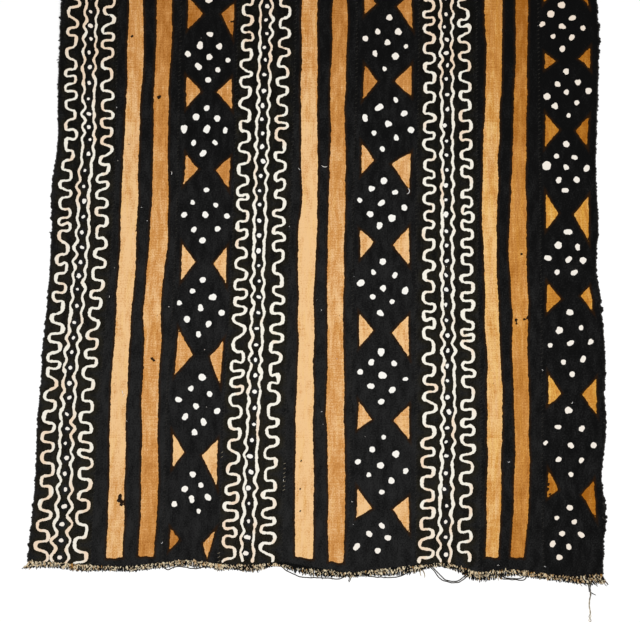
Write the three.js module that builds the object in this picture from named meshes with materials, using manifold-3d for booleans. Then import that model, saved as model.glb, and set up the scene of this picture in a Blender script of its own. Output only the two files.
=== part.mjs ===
// Strip-woven mud cloth, laid out flat: nine hand-woven cotton strips sewn edge to edge, with a frayed lower end.
// Millimetres, +Z up. The cloth lies on the plane z = 0, strips along Y, with the frayed end towards -Y.
import * as THREE from "three";
import { mergeVertices } from "three/addons/utils/BufferGeometryUtils.js";
import Module from "manifold-3d";

const wasm = await Module();
wasm.setup();

// Driving sizes
const CLOTH_THICKNESS = 1.5;
const TOP_END = 860; // y of the plain upper end
const TAIL_END = -TOP_END; // y where the longest loose yarn ends
const PIECE_GAP = 0.3; // between two strips at their seam, and between a strip and its frayed end
const BACKING_DEPTH = 6; // woven part of a frayed end, from the strip down to the cut
const STRAND_PITCH = 4.6;
const STRAND_WIDTH = 1.8;
const STRAND_HEIGHT = 1.2;
const STRAND_LENGTH = 11.5; // mean length of a frayed warp end
const SHORTEST_STRAND = 5;
const ROOT_DEPTH = 2.5; // how far a strand's root reaches into its backing
const LOOP_CLEARANCE = 3; // free length between a strand's tip and a loop below it
const LOOP_ROUNDNESS = 0.6; // under 1 makes a loop's bottom flatter than a half wave

// How uneven the frayed ends are
const LENGTH_WAVE = { height: 2.5, length: 31 };
const LENGTH_SPREAD = 5;
const TIP_SPREAD = 0.6;
const BEND_SHARE = 0.3; // sideways way that a strand has gone at half its length
const LEAN_WAVES = [
  { height: 2.4, length: 9 },
  { height: 2.2, length: 23 },
];
const CORNER_SPLAY = { left: 20, right: 14, reach: 12 }; // outwards, fading with the way in from each corner

// Grid of one strip, and steps along a strand
const COLUMNS = 4;
const ROWS = 32;
const STRAND_STEPS = 2;
const LOOP_STEPS = 14;
const TAIL_STEPS = 10;

// Colours and finish
const MUD_BLACK = 0x17181a;
const FRAYED_BROWN = 0x6e5c47;
const COTTON_ROUGHNESS = 0.95;

// The eight seams: x of each one, from left to right, at several heights up the cloth
const SEAMS = [
  { y: -760, x: [-437, -297, -187, -65, 67, 199, 319, 448] },
  { y: -567, x: [-428, -291, -181, -58, 70, 199, 326, 445] },
  { y: -411, x: [-417, -287, -175, -55, 72, 200, 326, 445] },
  { y: -216, x: [-404, -275, -164, -51, 75, 198, 320, 443] },
  { y: -21, x: [-390, -267, -157, -45, 76, 200, 319, 441] },
  { y: 174, x: [-386, -263, -152, -39, 82, 203, 318, 439] },
  { y: 369, x: [-382, -259, -148, -35, 84, 205, 317, 437] },
  { y: 860, x: [-379, -256, -144, -32, 86, 206, 317, 435] },
];

// The two outer selvedges, which wander more than the seams do
const SELVEDGES = [
  { y: -757, left: -558, right: 562 },
  { y: -702, left: -555, right: 563 },
  { y: -622, left: -547, right: 567 },
  { y: -573, left: -543, right: 560 },
  { y: -460, left: -538, right: 568 },
  { y: -411, left: -534, right: 564 },
  { y: -337, left: -529, right: 567 },
  { y: -232, left: -520, right: 558 },
  { y: -150, left: -514, right: 549 },
  { y: -70, left: -510, right: 553 },
  { y: 20, left: -508, right: 549 },
  { y: 84, left: -499, right: 549 },
  { y: 174, left: -498, right: 552 },
  { y: 298, left: -494, right: 554 },
  { y: 369, left: -491, right: 550 },
  { y: 860, left: -487, right: 548 },
];

// The cut lower end: y at each strip's left edge and middle, then at the cloth's right edge
const HEM = [
  { left: -727, middle: -730 },
  { left: -735, middle: -737 },
  { left: -730, middle: -725 },
  { left: -733, middle: -734 },
  { left: -730, middle: -740 },
  { left: -749, middle: -742 },
  { left: -736, middle: -731 },
  { left: -748, middle: -743 },
  { left: -751, middle: -757 },
];
const HEM_RIGHT = -753;
const STRIPS = HEM.length;

// Soft low ridges in the lying cloth: middle, half length, half width, direction in degrees from +X, height
const RIPPLES = [
  { x: -462, y: 250, along: 300, across: 62, turn: 92, height: 5 },
  { x: -335, y: -400, along: 230, across: 66, turn: 100, height: 4 },
  { x: -205, y: 545, along: 290, across: 75, turn: 88, height: 6 },
  { x: -95, y: -150, along: 260, across: 64, turn: 95, height: 4 },
  { x: 45, y: 330, along: 270, across: 66, turn: 94, height: 4 },
  { x: 110, y: -500, along: 170, across: 62, turn: 84, height: 5 },
  { x: 235, y: 600, along: 240, across: 68, turn: 97, height: 5 },
  { x: 330, y: -120, along: 280, across: 62, turn: 88, height: 4 },
  { x: 492, y: 520, along: 250, across: 64, turn: 86, height: 6 },
  { x: 510, y: -420, along: 210, across: 60, turn: 93, height: 5 },
];
const RIPPLE_END = { clear: 25, full: 110 }; // flat this close to the hem, full height this far above it

// Pulled threads that sag below the frayed end, held at both ends, and the one long yarn that hangs free
const LOOPS = [
  { strip: 5, from: -58, to: 58, sag: 18 },
  { strip: 6, from: 92, to: 188, sag: 14 },
  { strip: 7, from: 222, to: 310, sag: 25 },
  { strip: 7, from: 229, to: 303, sag: 20 },
  { strip: 8, from: 355, to: 417, sag: 14 },
];
const TAIL = { strip: 9, x: 535, sway: 1.5, wave: 17 };

/** A smooth curve through table rows, as a function from the row's place to its values. */
function smoothTable(places, rows) {
  const curve = new THREE.CubicInterpolant(places, rows.flat(), rows[0].length);
  return (place) => Array.from(curve.evaluate(place));
}

const seamsAt = smoothTable(SEAMS.map((row) => row.y), SEAMS.map((row) => row.x));
const selvedgesAt = smoothTable(SELVEDGES.map((row) => row.y), SELVEDGES.map((row) => [row.left, row.right]));
const hemHeights = [...HEM.flatMap((row) => [row.left, row.middle]), HEM_RIGHT];
const hemCurve = smoothTable(hemHeights.map((_, i) => i / 2), hemHeights.map((y) => [y]));
const hemAt = (stripsAcross) => hemCurve(stripsAcross)[0];

/** Left and right edge of a strip at height y, half a seam's gap inside its seams. */
function edgesOf(strip, y) {
  const [left, right] = selvedgesAt(y);
  const lines = [left, ...seamsAt(y), right];
  return [lines[strip - 1] + PIECE_GAP / 2, lines[strip] - PIECE_GAP / 2];
}

/** A repeatable number from -0.5 to 0.5 for the nth strand of a strip. */
function uneven(strip, n, kind) {
  return THREE.MathUtils.seededRandom(strip * 1000 + n * 10 + kind) - 0.5;
}

/** Height of a soft ridge: a raised cosine that is 1 in the middle and 0 from one half size outwards. */
function ridge(distance) {
  return Math.abs(distance) < 1 ? Math.cos((distance * Math.PI) / 2) ** 2 : 0;
}

/** Lift of the cloth off the floor at a point, for the ridges together, fading out above the hem. */
function rippleAt(x, y, hem) {
  const lift = RIPPLES.reduce((sum, row) => {
    const turn = THREE.MathUtils.degToRad(row.turn);
    const along = (x - row.x) * Math.cos(turn) + (y - row.y) * Math.sin(turn);
    const across = (y - row.y) * Math.cos(turn) - (x - row.x) * Math.sin(turn);
    return sum + row.height * ridge(along / row.along) * ridge(across / row.across);
  }, 0);
  return lift * THREE.MathUtils.smoothstep(y - hem, RIPPLE_END.clear, RIPPLE_END.full);
}

/** A point of a strip's underside: share 0 to 1 across it, between two heights above its cut end. */
function clothPoint(strip, across, low, high, share) {
  const hem = hemAt(strip - 1 + across);
  const y = THREE.MathUtils.lerp(low(hem), high(hem), share);
  const [left, right] = edgesOf(strip, y);
  const x = THREE.MathUtils.lerp(left, right, across);
  return new THREE.Vector3(x, y, rippleAt(x, y, hem));
}

/** A closed slab of cloth: a box's grid of points carried onto a surface and its copy one thickness up. */
function slab(rows, surface) {
  const box = new THREE.BoxGeometry(1, 1, 1, COLUMNS, rows, 1);
  const place = box.attributes.position;
  for (let i = 0; i < place.count; i++) {
    const point = surface(place.getX(i) + 0.5, place.getY(i) + 0.5);
    const lift = (place.getZ(i) + 0.5) * CLOTH_THICKNESS;
    place.setXYZ(i, point.x, point.y, point.z + lift);
  }
  box.computeVertexNormals();
  return box;
}

/** One woven strip, from just above its frayed end to the plain upper end. */
function stripGeometry(strip) {
  const low = (hem) => hem + BACKING_DEPTH;
  const high = () => TOP_END;
  return slab(ROWS, (across, share) => clothPoint(strip, across, low, high, share));
}

/** The woven band that holds a strip's frayed ends. */
function backingGeometry(strip) {
  const low = (hem) => hem;
  const high = (hem) => hem + BACKING_DEPTH - PIECE_GAP;
  return slab(1, (across, share) => clothPoint(strip, across, low, high, share));
}

/** Yarn on the floor: a three-sided section, flat side down, along a level path. */
function yarn(points, steps) {
  const section = new THREE.Shape();
  section.moveTo(0, -STRAND_WIDTH / 2).lineTo(0, STRAND_WIDTH / 2).lineTo(-STRAND_HEIGHT, 0);
  const extrudePath = new THREE.CatmullRomCurve3(points);
  return new THREE.ExtrudeGeometry(section, { steps, bevelEnabled: false, extrudePath });
}

/** Share from 0 to 1 across a strip of the point x on its cut end. */
function shareAcross(strip, x) {
  const [left, right] = edgesOf(strip, hemAt(strip - 0.5));
  return (x - left) / (right - left);
}

const cutAt = (strip, x) => hemAt(strip - 1 + shareAcross(strip, x));

/** Depth of a loop below the cut end at x: a flat-bottomed sag, 0 at both ends. */
function loopDepth(loop, x) {
  const share = (x - loop.from) / (loop.to - loop.from);
  return share > 0 && share < 1 ? loop.sag * Math.sin(Math.PI * share) ** LOOP_ROUNDNESS : 0;
}

/** Sideways lean of the frayed ends at x: slow waves, splayed outwards at the cloth's two lower corners. */
function leanAt(x) {
  const [left, right] = selvedgesAt(hemAt(0));
  const leftwards = CORNER_SPLAY.left * Math.exp((left - x) / CORNER_SPLAY.reach);
  const rightwards = CORNER_SPLAY.right * Math.exp((x - right) / CORNER_SPLAY.reach);
  return LEAN_WAVES.reduce((sum, wave) => sum + wave.height * Math.sin(x / wave.length), rightwards - leftwards);
}

/** Longest strand that fits at x above the strip's loops and beside its tail. */
function roomAt(strip, x) {
  const near = (loop) => x > loop.from - STRAND_PITCH && x < loop.to + STRAND_PITCH;
  const below = LOOPS.filter((loop) => loop.strip === strip && near(loop));
  const free = Math.min(Infinity, ...below.map((loop) => loopDepth(loop, x) - LOOP_CLEARANCE));
  return TAIL.strip === strip && Math.abs(x - TAIL.x) < STRAND_PITCH ? 0 : free;
}

/** The short frayed warp ends of a strip, side by side along its cut end. */
function frayedEnds(strip) {
  const [left, right] = edgesOf(strip, hemAt(strip - 0.5));
  const count = Math.floor((right - left) / STRAND_PITCH);
  const places = Array.from({ length: count }, (_, n) => left + ((n + 0.5) * (right - left)) / count);
  return places.flatMap((x, n) => {
    const wave = LENGTH_WAVE.height * Math.sin(x / LENGTH_WAVE.length);
    const length = Math.min(STRAND_LENGTH + wave + LENGTH_SPREAD * uneven(strip, n, 1), roomAt(strip, x));
    if (length < SHORTEST_STRAND) return [];
    const cut = cutAt(strip, x);
    const tip = x + (leanAt(x) * length) / STRAND_LENGTH + TIP_SPREAD * uneven(strip, n, 2);
    const bend = x + BEND_SHARE * (tip - x);
    const points = [
      new THREE.Vector3(x, cut + ROOT_DEPTH, 0),
      new THREE.Vector3(bend, cut - length / 2, 0),
      new THREE.Vector3(tip, cut - length, 0),
    ];
    return [yarn(points, STRAND_STEPS)];
  });
}

/** The pulled threads of a strip: each leaves its backing, sags, and goes back in. */
function loops(strip) {
  return LOOPS.filter((loop) => loop.strip === strip).map((loop) => {
    const points = Array.from({ length: LOOP_STEPS + 1 }, (_, n) => {
      const x = THREE.MathUtils.lerp(loop.from, loop.to, n / LOOP_STEPS);
      const held = n === 0 || n === LOOP_STEPS ? ROOT_DEPTH : 0;
      return new THREE.Vector3(x, cutAt(strip, x) + held - loopDepth(loop, x), 0);
    });
    return yarn(points, LOOP_STEPS);
  });
}

/** The one long yarn: it leans like its neighbours, then runs straight down with a slight sway. */
function tail(strip) {
  if (strip !== TAIL.strip) return [];
  const cut = cutAt(strip, TAIL.x);
  const lean = leanAt(TAIL.x);
  const points = Array.from({ length: TAIL_STEPS + 1 }, (_, n) => {
    const y = THREE.MathUtils.lerp(cut + ROOT_DEPTH, TAIL_END, n / TAIL_STEPS);
    const out = THREE.MathUtils.smoothstep(cut - y, 0, STRAND_LENGTH);
    return new THREE.Vector3(TAIL.x + out * (lean + TAIL.sway * Math.sin((cut - y) / TAIL.wave)), y, 0);
  });
  return [yarn(points, TAIL_STEPS)];
}

/** A closed geometry as a solid that can be joined. */
function solidOf(geometry) {
  geometry.deleteAttribute("normal");
  geometry.deleteAttribute("uv");
  const merged = mergeVertices(geometry);
  const vertProperties = Float32Array.from(merged.attributes.position.array);
  const triVerts = Uint32Array.from(merged.index.array);
  return new wasm.Manifold(new wasm.Mesh({ numProp: 3, vertProperties, triVerts }));
}

/** A joined solid back as a three.js geometry. */
function geometryOf(solid) {
  const mesh = solid.getMesh();
  const geometry = new THREE.BufferGeometry();
  geometry.setAttribute("position", new THREE.BufferAttribute(mesh.vertProperties, mesh.numProp));
  geometry.setIndex(new THREE.BufferAttribute(mesh.triVerts, 1));
  geometry.computeVertexNormals();
  return geometry;
}

/** A strip's frayed end: the backing with every strand's root fused into it. */
function fringeGeometry(strip) {
  const strands = [...frayedEnds(strip), ...loops(strip), ...tail(strip)];
  const joined = strands.reduce((solid, strand) => solid.add(solidOf(strand)), solidOf(backingGeometry(strip)));
  return geometryOf(joined);
}

function cottonMesh(name, geometry, color) {
  const material = new THREE.MeshStandardMaterial({ color, roughness: COTTON_ROUGHNESS, metalness: 0 });
  const mesh = new THREE.Mesh(geometry, material);
  mesh.name = name;
  return mesh;
}

const cloth = new THREE.Group();
for (let strip = 1; strip <= STRIPS; strip++) {
  cloth.add(cottonMesh(`strip_${strip}`, stripGeometry(strip), MUD_BLACK));
  cloth.add(cottonMesh(`fringe_${strip}`, fringeGeometry(strip), FRAYED_BROWN));
}

export default cloth;
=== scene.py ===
"""Bogolan mud cloth, laid face up: nine painted cotton strips, sewn edge to edge, with one frayed end.

The strips run along Y, with the frayed end towards -Y. All lengths are metres, except in the charts,
which are in millimetres where they say so.
"""

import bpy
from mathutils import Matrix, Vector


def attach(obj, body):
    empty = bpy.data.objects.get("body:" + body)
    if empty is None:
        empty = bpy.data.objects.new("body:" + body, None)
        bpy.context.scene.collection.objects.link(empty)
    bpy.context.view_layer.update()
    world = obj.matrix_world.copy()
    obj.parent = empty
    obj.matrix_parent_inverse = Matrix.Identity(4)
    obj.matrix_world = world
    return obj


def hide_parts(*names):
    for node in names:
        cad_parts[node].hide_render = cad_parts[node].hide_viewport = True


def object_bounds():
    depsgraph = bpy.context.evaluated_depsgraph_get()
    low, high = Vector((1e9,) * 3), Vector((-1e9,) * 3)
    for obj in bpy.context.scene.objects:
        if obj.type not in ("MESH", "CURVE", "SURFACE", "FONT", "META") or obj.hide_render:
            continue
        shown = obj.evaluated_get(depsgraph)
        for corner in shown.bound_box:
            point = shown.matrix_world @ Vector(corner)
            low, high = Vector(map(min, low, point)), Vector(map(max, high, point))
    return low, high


bl_info = {
    "name": "Bogolan Mud Cloth",
    "version": (1, 0, 0),
    "blender": (4, 5, 0),
    "location": "View3D > Sidebar > Mud Cloth",
    "description": "Nine painted cotton strips, sewn edge to edge, with frayed ends and loose threads",
    "category": "Add Mesh",
}

from collections import namedtuple

import bpy
import numpy as np
from bpy.props import FloatProperty, FloatVectorProperty, PointerProperty

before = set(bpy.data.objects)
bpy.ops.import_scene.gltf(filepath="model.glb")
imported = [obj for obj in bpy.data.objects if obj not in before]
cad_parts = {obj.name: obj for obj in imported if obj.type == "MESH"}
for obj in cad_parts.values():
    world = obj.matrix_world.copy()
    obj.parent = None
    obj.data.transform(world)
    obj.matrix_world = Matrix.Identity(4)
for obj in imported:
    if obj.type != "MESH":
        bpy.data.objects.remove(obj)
CAD_LOW, CAD_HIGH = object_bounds()

MM = 0.001
UP = np.array([0.0, 0.0, 1.0])
# A depth far inside a painted mark, or with a minus far outside it
FAR = 1.0
# How many strips there are, the height of their upper end, and how far two are pressed together at a seam
STRIPS, TOP_END, SEAM_OVERLAP = 9, CAD_HIGH.y, 0.1 * MM

# Seeds of the random draws, to which a strip's or an edge line's number is added
MEANDER_SEED, BAR_SEED, DIAMOND_SEED, WEAVE_SEED = 100, 200, 300, 400
FRAY_SEED, SEWING_SEED, SELVEDGE_SEED, LINT_SEED = 500, 600, 650, 700

# The picture: its size in pixels, the pixel where the cloth's origin lies, and the length of one pixel
PICTURE_WIDTH, PICTURE_HEIGHT = 640, 622
ORIGIN_PIXEL_X, ORIGIN_PIXEL_Y = 314, 189
PIXEL = 1.95 * MM

# The eight seams, in millimetres: height, then the x of each seam from left to right
SEAMS = MM * np.array([
    (-760, -437, -297, -187, -65, 67, 199, 319, 448),
    (-567, -428, -291, -181, -58, 70, 199, 326, 445),
    (-411, -417, -287, -175, -55, 72, 200, 326, 445),
    (-216, -404, -275, -164, -51, 75, 198, 320, 443),
    (-21, -390, -267, -157, -45, 76, 200, 319, 441),
    (174, -386, -263, -152, -39, 82, 203, 318, 439),
    (369, -382, -259, -148, -35, 84, 205, 317, 437),
    (860, -379, -256, -144, -32, 86, 206, 317, 435),
])

# The two outer selvedges, in millimetres: height, left x, right x
SELVEDGES = MM * np.array([
    (-757, -558, 562), (-702, -555, 563), (-622, -547, 567), (-573, -543, 560),
    (-460, -538, 568), (-411, -534, 564), (-337, -529, 567), (-232, -520, 558),
    (-150, -514, 549), (-70, -510, 553), (20, -508, 549), (84, -499, 549),
    (174, -498, 552), (298, -494, 554), (369, -491, 550), (860, -487, 548),
])

# The cut lower end, in millimetres: its height at each strip's left edge and middle, then at the right edge
HEM = MM * np.array([
    -727, -730, -735, -737, -730, -725, -733, -734, -730, -740,
    -749, -742, -736, -731, -748, -743, -751, -757, -753,
])

# Low soft ridges in the lying cloth, in millimetres: middle, half length, half width, direction in degrees
# from +X, height; then how far above the hem they begin and are full
Ripple = namedtuple("Ripple", "x y along across turn height")
RIPPLES = [
    Ripple(-462, 250, 300, 62, 92, 5),
    Ripple(-335, -400, 230, 66, 100, 4),
    Ripple(-205, 545, 290, 75, 88, 6),
    Ripple(-95, -150, 260, 64, 95, 4),
    Ripple(45, 330, 270, 66, 94, 4),
    Ripple(110, -500, 170, 62, 84, 5),
    Ripple(235, 600, 240, 68, 97, 5),
    Ripple(330, -120, 280, 62, 88, 4),
    Ripple(492, 520, 250, 64, 86, 6),
    Ripple(510, -420, 210, 60, 93, 5),
]
RIPPLE_CLEAR, RIPPLE_FULL = 25 * MM, 110 * MM

# The bumps of the outer selvedges: their spacing and how far they stand out
BUMP_STEP, BUMP_SIZE = 4.5 * MM, 1.1 * MM

# Meander strips, in millimetres: height, how far the lines and the row of dots lie from the strip's left
# edge, then how far the two wavy lines bow out around a dot
MeanderPlaces = namedtuple(
    "MeanderPlaces", "height left_meander left_line dots right_line right_meander left_bow right_bow"
)
MEANDER_PLACES = {
    1: [(-714, 24, 48, 61, 75, 99, 3.4, 3.4), (-411, 20, 44, 55, 67, 93, 2.3, 2.3),
        (-21, 24, 49, 60, 71, 96, 1.9, 1.7), (369, 23, 47, 57, 68, 92, 1.9, 1.9)],
    4: [(-714, 20, 44, 54, 67, 94, 1.6, 1.2), (-411, 23, 47, 58, 68, 96, 1.8, 1.0),
        (-21, 18, 42, 52, 63, 90, 1.6, 1.6), (369, 20, 45, 56, 66, 92, 1.8, 1.9)],
    7: [(-714, 20, 45, 57, 67, 94, 1.4, 1.2), (-411, 25, 52, 61, 74, 101, 2.0, 2.0),
        (-21, 25, 50, 58, 70, 98, 1.9, 1.9), (369, 19, 42, 53, 64, 86, 1.9, 1.9)],
}
# How far above the hem a meander strip's lines begin
MEANDER_FOOT = {1: -2 * MM, 4: 9 * MM, 7: 5 * MM}

# How the meander strips' repeats grow down the cloth, in millimetres: height, a meander's half swing and
# repeat, and the dots' spacing
Rhythm = namedtuple("Rhythm", "height swing repeat spacing")
RHYTHM = Rhythm(*MM * np.array([
    (-740, 11.4, 42.0, 32.0),
    (-411, 10.4, 39.5, 30.0),
    (-21, 9.6, 37.5, 29.0),
    (369, 9.3, 36.0, 27.0),
    (860, 9.3, 36.0, 27.0),
]).T)
# How bold the lines are down the cloth: height in millimetres, share of their usual width
BOLDNESS = np.array([(-740, 1.04), (-411, 1.03), (-21, 0.98), (369, 0.9), (860, 0.9)]).T
# How a meander bends: points to half a repeat, the power that squares the bends, the steepest turn from
# upright, how suddenly the brush turns, and the share of the points that keep within the charted swing
HALF_REPEAT, SQUARENESS, STEEPNESS, SUDDENNESS, WITHIN_SWING = 38, 1.5, np.radians(87), 2.2, 0.85
# How far along a stroke, in points, its depth is looked for
STROKE_REACH = 64

# How the loom and the painting hand stray: step along the line, then how far, as a length or as a share
SLACK_STRAYS = 60 * MM, 0.4
MEANDER_PACE, DOT_PACE = (19 * MM, 0.06), (19 * MM, 0.08)
SQUARENESS_STRAYS, STEEPNESS_STRAYS, SWING_STRAYS = (45 * MM, 0.22), (38 * MM, 0.045), (34 * MM, 0.07)
SIDEWAYS_STRAYS, UPWARDS_STRAYS, WIDTH_STRAYS = (13 * MM, 0.7 * MM), (17 * MM, 1.2 * MM), (9 * MM, 0.13)
BOW_STRAYS, WAVY_STRAYS, WAVY_WIDTH_STRAYS = (40 * MM, 0.35), (11 * MM, 0.9 * MM), (7 * MM, 0.17)
BAR_SIDE_STRAYS, BAR_RIM_STRAYS = (45 * MM, 0.8 * MM), (9 * MM, 0.35 * MM)
BAR_END_STRAYS = 7 * MM, 0.8 * MM
TRIANGLE_STRAYS = 6 * MM, 0.4 * MM
SLUBS, SLUB_ACROSS, SLUB_ALONG = 3, (5 * MM, 0.09 * MM), (70 * MM, 1)
THREAD_TREMBLE = 6 * MM, 0.4 * MM
TUFTING = 22 * MM, 1

# How uneven the daubed dots are: spread of the small and the large ones' size and roundness, how far off
# their places they are daubed, and how oval, lumpy and nicked a daub is
SMALL_DOT_SPREAD, LARGE_DOT_SPREAD = 0.14, 0.13
SMALL_DOT_SCATTER, LARGE_DOT_SCATTER = 1.2 * MM, 1.8 * MM
MOST_OVAL, LUMPINESS, NICK_SHARE = 0.24, 0.05, 0.6

# Ochre bars, in millimetres: height, then left and right edge of the pale bar and of the deep bar
BARS = {
    2: [(-720, -404, -373, -343, -312), (-606, -400, -369, -337, -305), (-411, -397, -366, -335, -304),
        (-310, -389, -360, -331, -299), (-216, -384, -353, -330, -297), (-103, -378, -347, -320, -287),
        (-10, -375, -345, -314, -285), (183, -366, -337, -312, -284), (271, -363, -333, -308, -279),
        (369, -360, -334, -306, -277), (860, -357, -331, -303, -274)],
    5: [(-715, -38, -3, 28, 58), (-606, -37, -1, 29, 60), (-411, -35, -2, 25, 59), (-291, -30, 0, 28, 57),
        (-197, -31, -1, 25, 57), (-103, -31, 4, 27, 58), (-10, -24, 6, 30, 61), (183, -25, 6, 33, 60),
        (369, -22, 6, 37, 66), (860, -21, 9, 39, 68)],
    8: [(-718, 336, 359, 384, 408), (-606, 337, 364, 390, 420), (-502, 339, 366, 392, 418),
        (-411, 338, 366, 390, 419), (-337, 337, 364, 387, 416), (-244, 333, 360, 388, 417),
        (-131, 330, 356, 380, 414), (37, 328, 359, 386, 413), (183, 334, 364, 390, 415),
        (369, 334, 368, 395, 417), (860, 335, 370, 395, 417)],
}
# Where each bar's foot lies, in millimetres: left and right corner of the pale bar and of the deep bar
BAR_FEET = {2: (-721, -719, -717, -716), 5: (-716, -722, -727, -729), 8: (-718, -719, -717, -719)}
# How far below the upper end the painting stops
PLAIN_HEAD = 14 * MM

# Diamond strips, in millimetres: height of the waist between two diamonds, then of the left triangle its
# reach up and down and its depth, how much lower the right tip is, and the same three of the right triangle;
# then how deep the ochre is, how far the right triangle's lower corner is drawn in and how much paler it is
Waist = namedtuple(
    "Waist",
    "y left_up left_down left_depth drop right_up right_down right_depth dye skew paler",
    defaults=[0, 0],
)
WAISTS = {
    3: [Waist(797, 33, 28, 28, 0, 27, 38, 26, 0.4), Waist(645, 31, 30, 27, 2, 26, 40, 27, 0.25),
        Waist(493, 32, 29, 28, 1, 25, 41, 25, 0.45), Waist(341, 33, 29, 29, 1, 21, 43, 23, 0.45),
        Waist(190, 30, 31, 29, 1, 26, 34, 28, 0.26), Waist(38, 30, 28, 25, 0, 23, 39, 27, 0.45),
        Waist(-142, 35, 36, 26, 3, 31, 42, 26, 0.15), Waist(-323, 49, 39, 31, 3, 31, 53, 24, 0.4),
        Waist(-514, 39, 29, 23, 6, 32, 60, 30, 0.1), Waist(-685, 23, 19, 18, 6, 26, 28, 23, 0.6, 13, 0.4)],
    6: [Waist(807, 33, 28, 27, 2, 30, 40, 31, 0.35), Waist(657, 31, 31, 26, 1, 28, 38, 30, 0.45),
        Waist(507, 33, 27, 26, 3, 30, 42, 31, 0.3), Waist(360, 32, 20, 23, 5, 28, 43, 29, 0.38),
        Waist(209, 32, 34, 26, -1, 32, 28, 32, 0.46), Waist(56, 33, 27, 25, 8, 23, 49, 36, 0.18),
        Waist(-103, 23, 31, 26, 7, 35, 38, 31, 0.28), Waist(-276, 33, 31, 27, 5, 34, 47, 32, 0.13),
        Waist(-449, 35, 20, 27, 3, 31, 37, 31, 0.36), Waist(-622, 40, 19, 30, 3, 25, 44, 31, 0.04)],
    9: [Waist(830, 30, 28, 25, 2, 27, 33, 25, 0.5), Waist(685, 32, 29, 26, 0, 25, 35, 24, 0.4),
        Waist(540, 31, 27, 25, 2, 27, 33, 25, 0.6), Waist(392, 29, 28, 24, 1, 26, 34, 25, 0.5),
        Waist(250, 15, 16, 21, -4, 22, 21, 22, 0.5), Waist(115, 31, 33, 27, 1, 27, 32, 24, 0.72),
        Waist(-47, 38, 31, 23, 3, 36, 52, 31, 0.43), Waist(-214, 32, 26, 27, -5, 18, 29, 20, 0.7),
        Waist(-398, 38, 23, 25, 3, 30, 38, 26, 0.36), Waist(-586, 37, 15, 20, 10, 28, 47, 25, 0.8)],
}
# The three by three dots below each waist, in millimetres: how far their middle lies from the diamond's,
# their step up to the right and up to the left, and which of them, counted from the top, were never daubed
Dots = namedtuple("Dots", "x y right_x right_y left_x left_y missing", defaults=[()])
DOTS = {
    3: [Dots(0, 0, 23, 21, -19, 26), Dots(-2, 3, 22, 22, -19, 25), Dots(1, -2, 22, 21, -19, 25),
        Dots(-1, -8, 21, 20, -18, 25), Dots(-3, 2, 23, 22, -19, 24), Dots(1, -1, 22, 25, -20, 25),
        Dots(-1, 0, 23, 21, -18, 31), Dots(5, -4, 24, 21, -13, 33), Dots(-2, -6, 18, 28, -14, 22, (7, 8))],
    6: [Dots(0, 0, 24, 20, -19, 28), Dots(2, -3, 23, 21, -19, 28), Dots(-1, 2, 24, 20, -18, 27),
        Dots(-2, 1, 22, 21, -18, 27), Dots(3, -6, 28, 18, -17, 30), Dots(-5, -4, 24, 20, -20, 27),
        Dots(-2, -2, 23, 21, -20, 28), Dots(-4, -1, 23, 21, -22, 28), Dots(-2, -3, 25, 21, -21, 31),
        Dots(-11, -3, 23, 22, -14, 30, (5, 6, 7, 8))],
    9: [Dots(-4, 0, 20, 22, -20, 22), Dots(-6, 2, 20, 22, -20, 22), Dots(-5, 0, 20, 21, -20, 22),
        Dots(-11, -4, 19, 19, -20, 23), Dots(-3, 4, 21, 23, -21, 18), Dots(-2, 7, 20, 22, -19, 23),
        Dots(-4, -7, 20, 25, -15, 27, (8,)), Dots(-3, 4, 20, 33, -21, 27), Dots(-7, -5, 22, 29, -23, 32),
        Dots(-19, -4, 21, 22, -12, 27, (3,))],
}
# How far the triangles' upright sides stand in from the strip's two edges, in millimetres
TRIANGLE_INSETS = {3: (14, 9), 6: (14.5, 14), 9: (11.5, 16)}
# How far below its waist the middle of the last, cut-off diamond lies
LAST_DIAMOND_DROP = 80 * MM
# How uneven the triangles are: slant of the upright side, bow of the sides, spread of the ochre's depth
TRIANGLE_SLANT, TRIANGLE_BOW, TRIANGLE_DYE_SPREAD = 0.8 * MM, 0.7 * MM, 0.05

# How deep the ochre of a strip's two bars is, from 0 for the palest to 1, and at what depth it is rich
BAR_DYES = {2: (0.09, 0.40), 5: (0.03, 0.35), 8: (0.21, 0.59)}
RICH_OCHRE_AT = 0.42
# How golden a strip's ochre is
GOLDEN = {8: 0.35, 9: 0.8}
# How much deeper the ochre went on up the cloth: height in millimetres, added depth
DYE = np.array([(-740, 0), (0, 0), (47, 0.06), (189, 0.2), (369, 0.34), (860, 0.36)]).T
# How much deeper it is at the foot, by strip and on the other strips, and between which heights that fades
FOOT_DYE, USUAL_FOOT_DYE = {2: 0.16, 5: 0.02, 8: 0.13}, 0.12
FOOT_LOW, FOOT_TOP = -740 * MM, -400 * MM
# How much ochre is left in the bleached marks up the cloth: height in millimetres, warmth; and more by strip
WARMTH = np.array([
    (-740, 0.12), (-640, 0.06), (-450, 0), (100, 0), (300, 0.12), (369, 0.18), (860, 0.18),
]).T
STRIP_WARMTH = {1: 0.06, 7: 0.02, 9: 0.12}
# How much lighter the mud is made up the cloth, darker below zero: height in millimetres, amount; and by
# strip
MUD_LIGHTER_UP_CLOTH = np.array([(-740, 0.06), (-411, 0.06), (-41, 0.025), (228, -0.03), (369, -0.05), (860, -0.05)]).T
MUD_LIGHTER_BY_STRIP = {3: -0.025, 6: -0.02, 7: -0.01, 8: -0.06, 9: -0.09}

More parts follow.
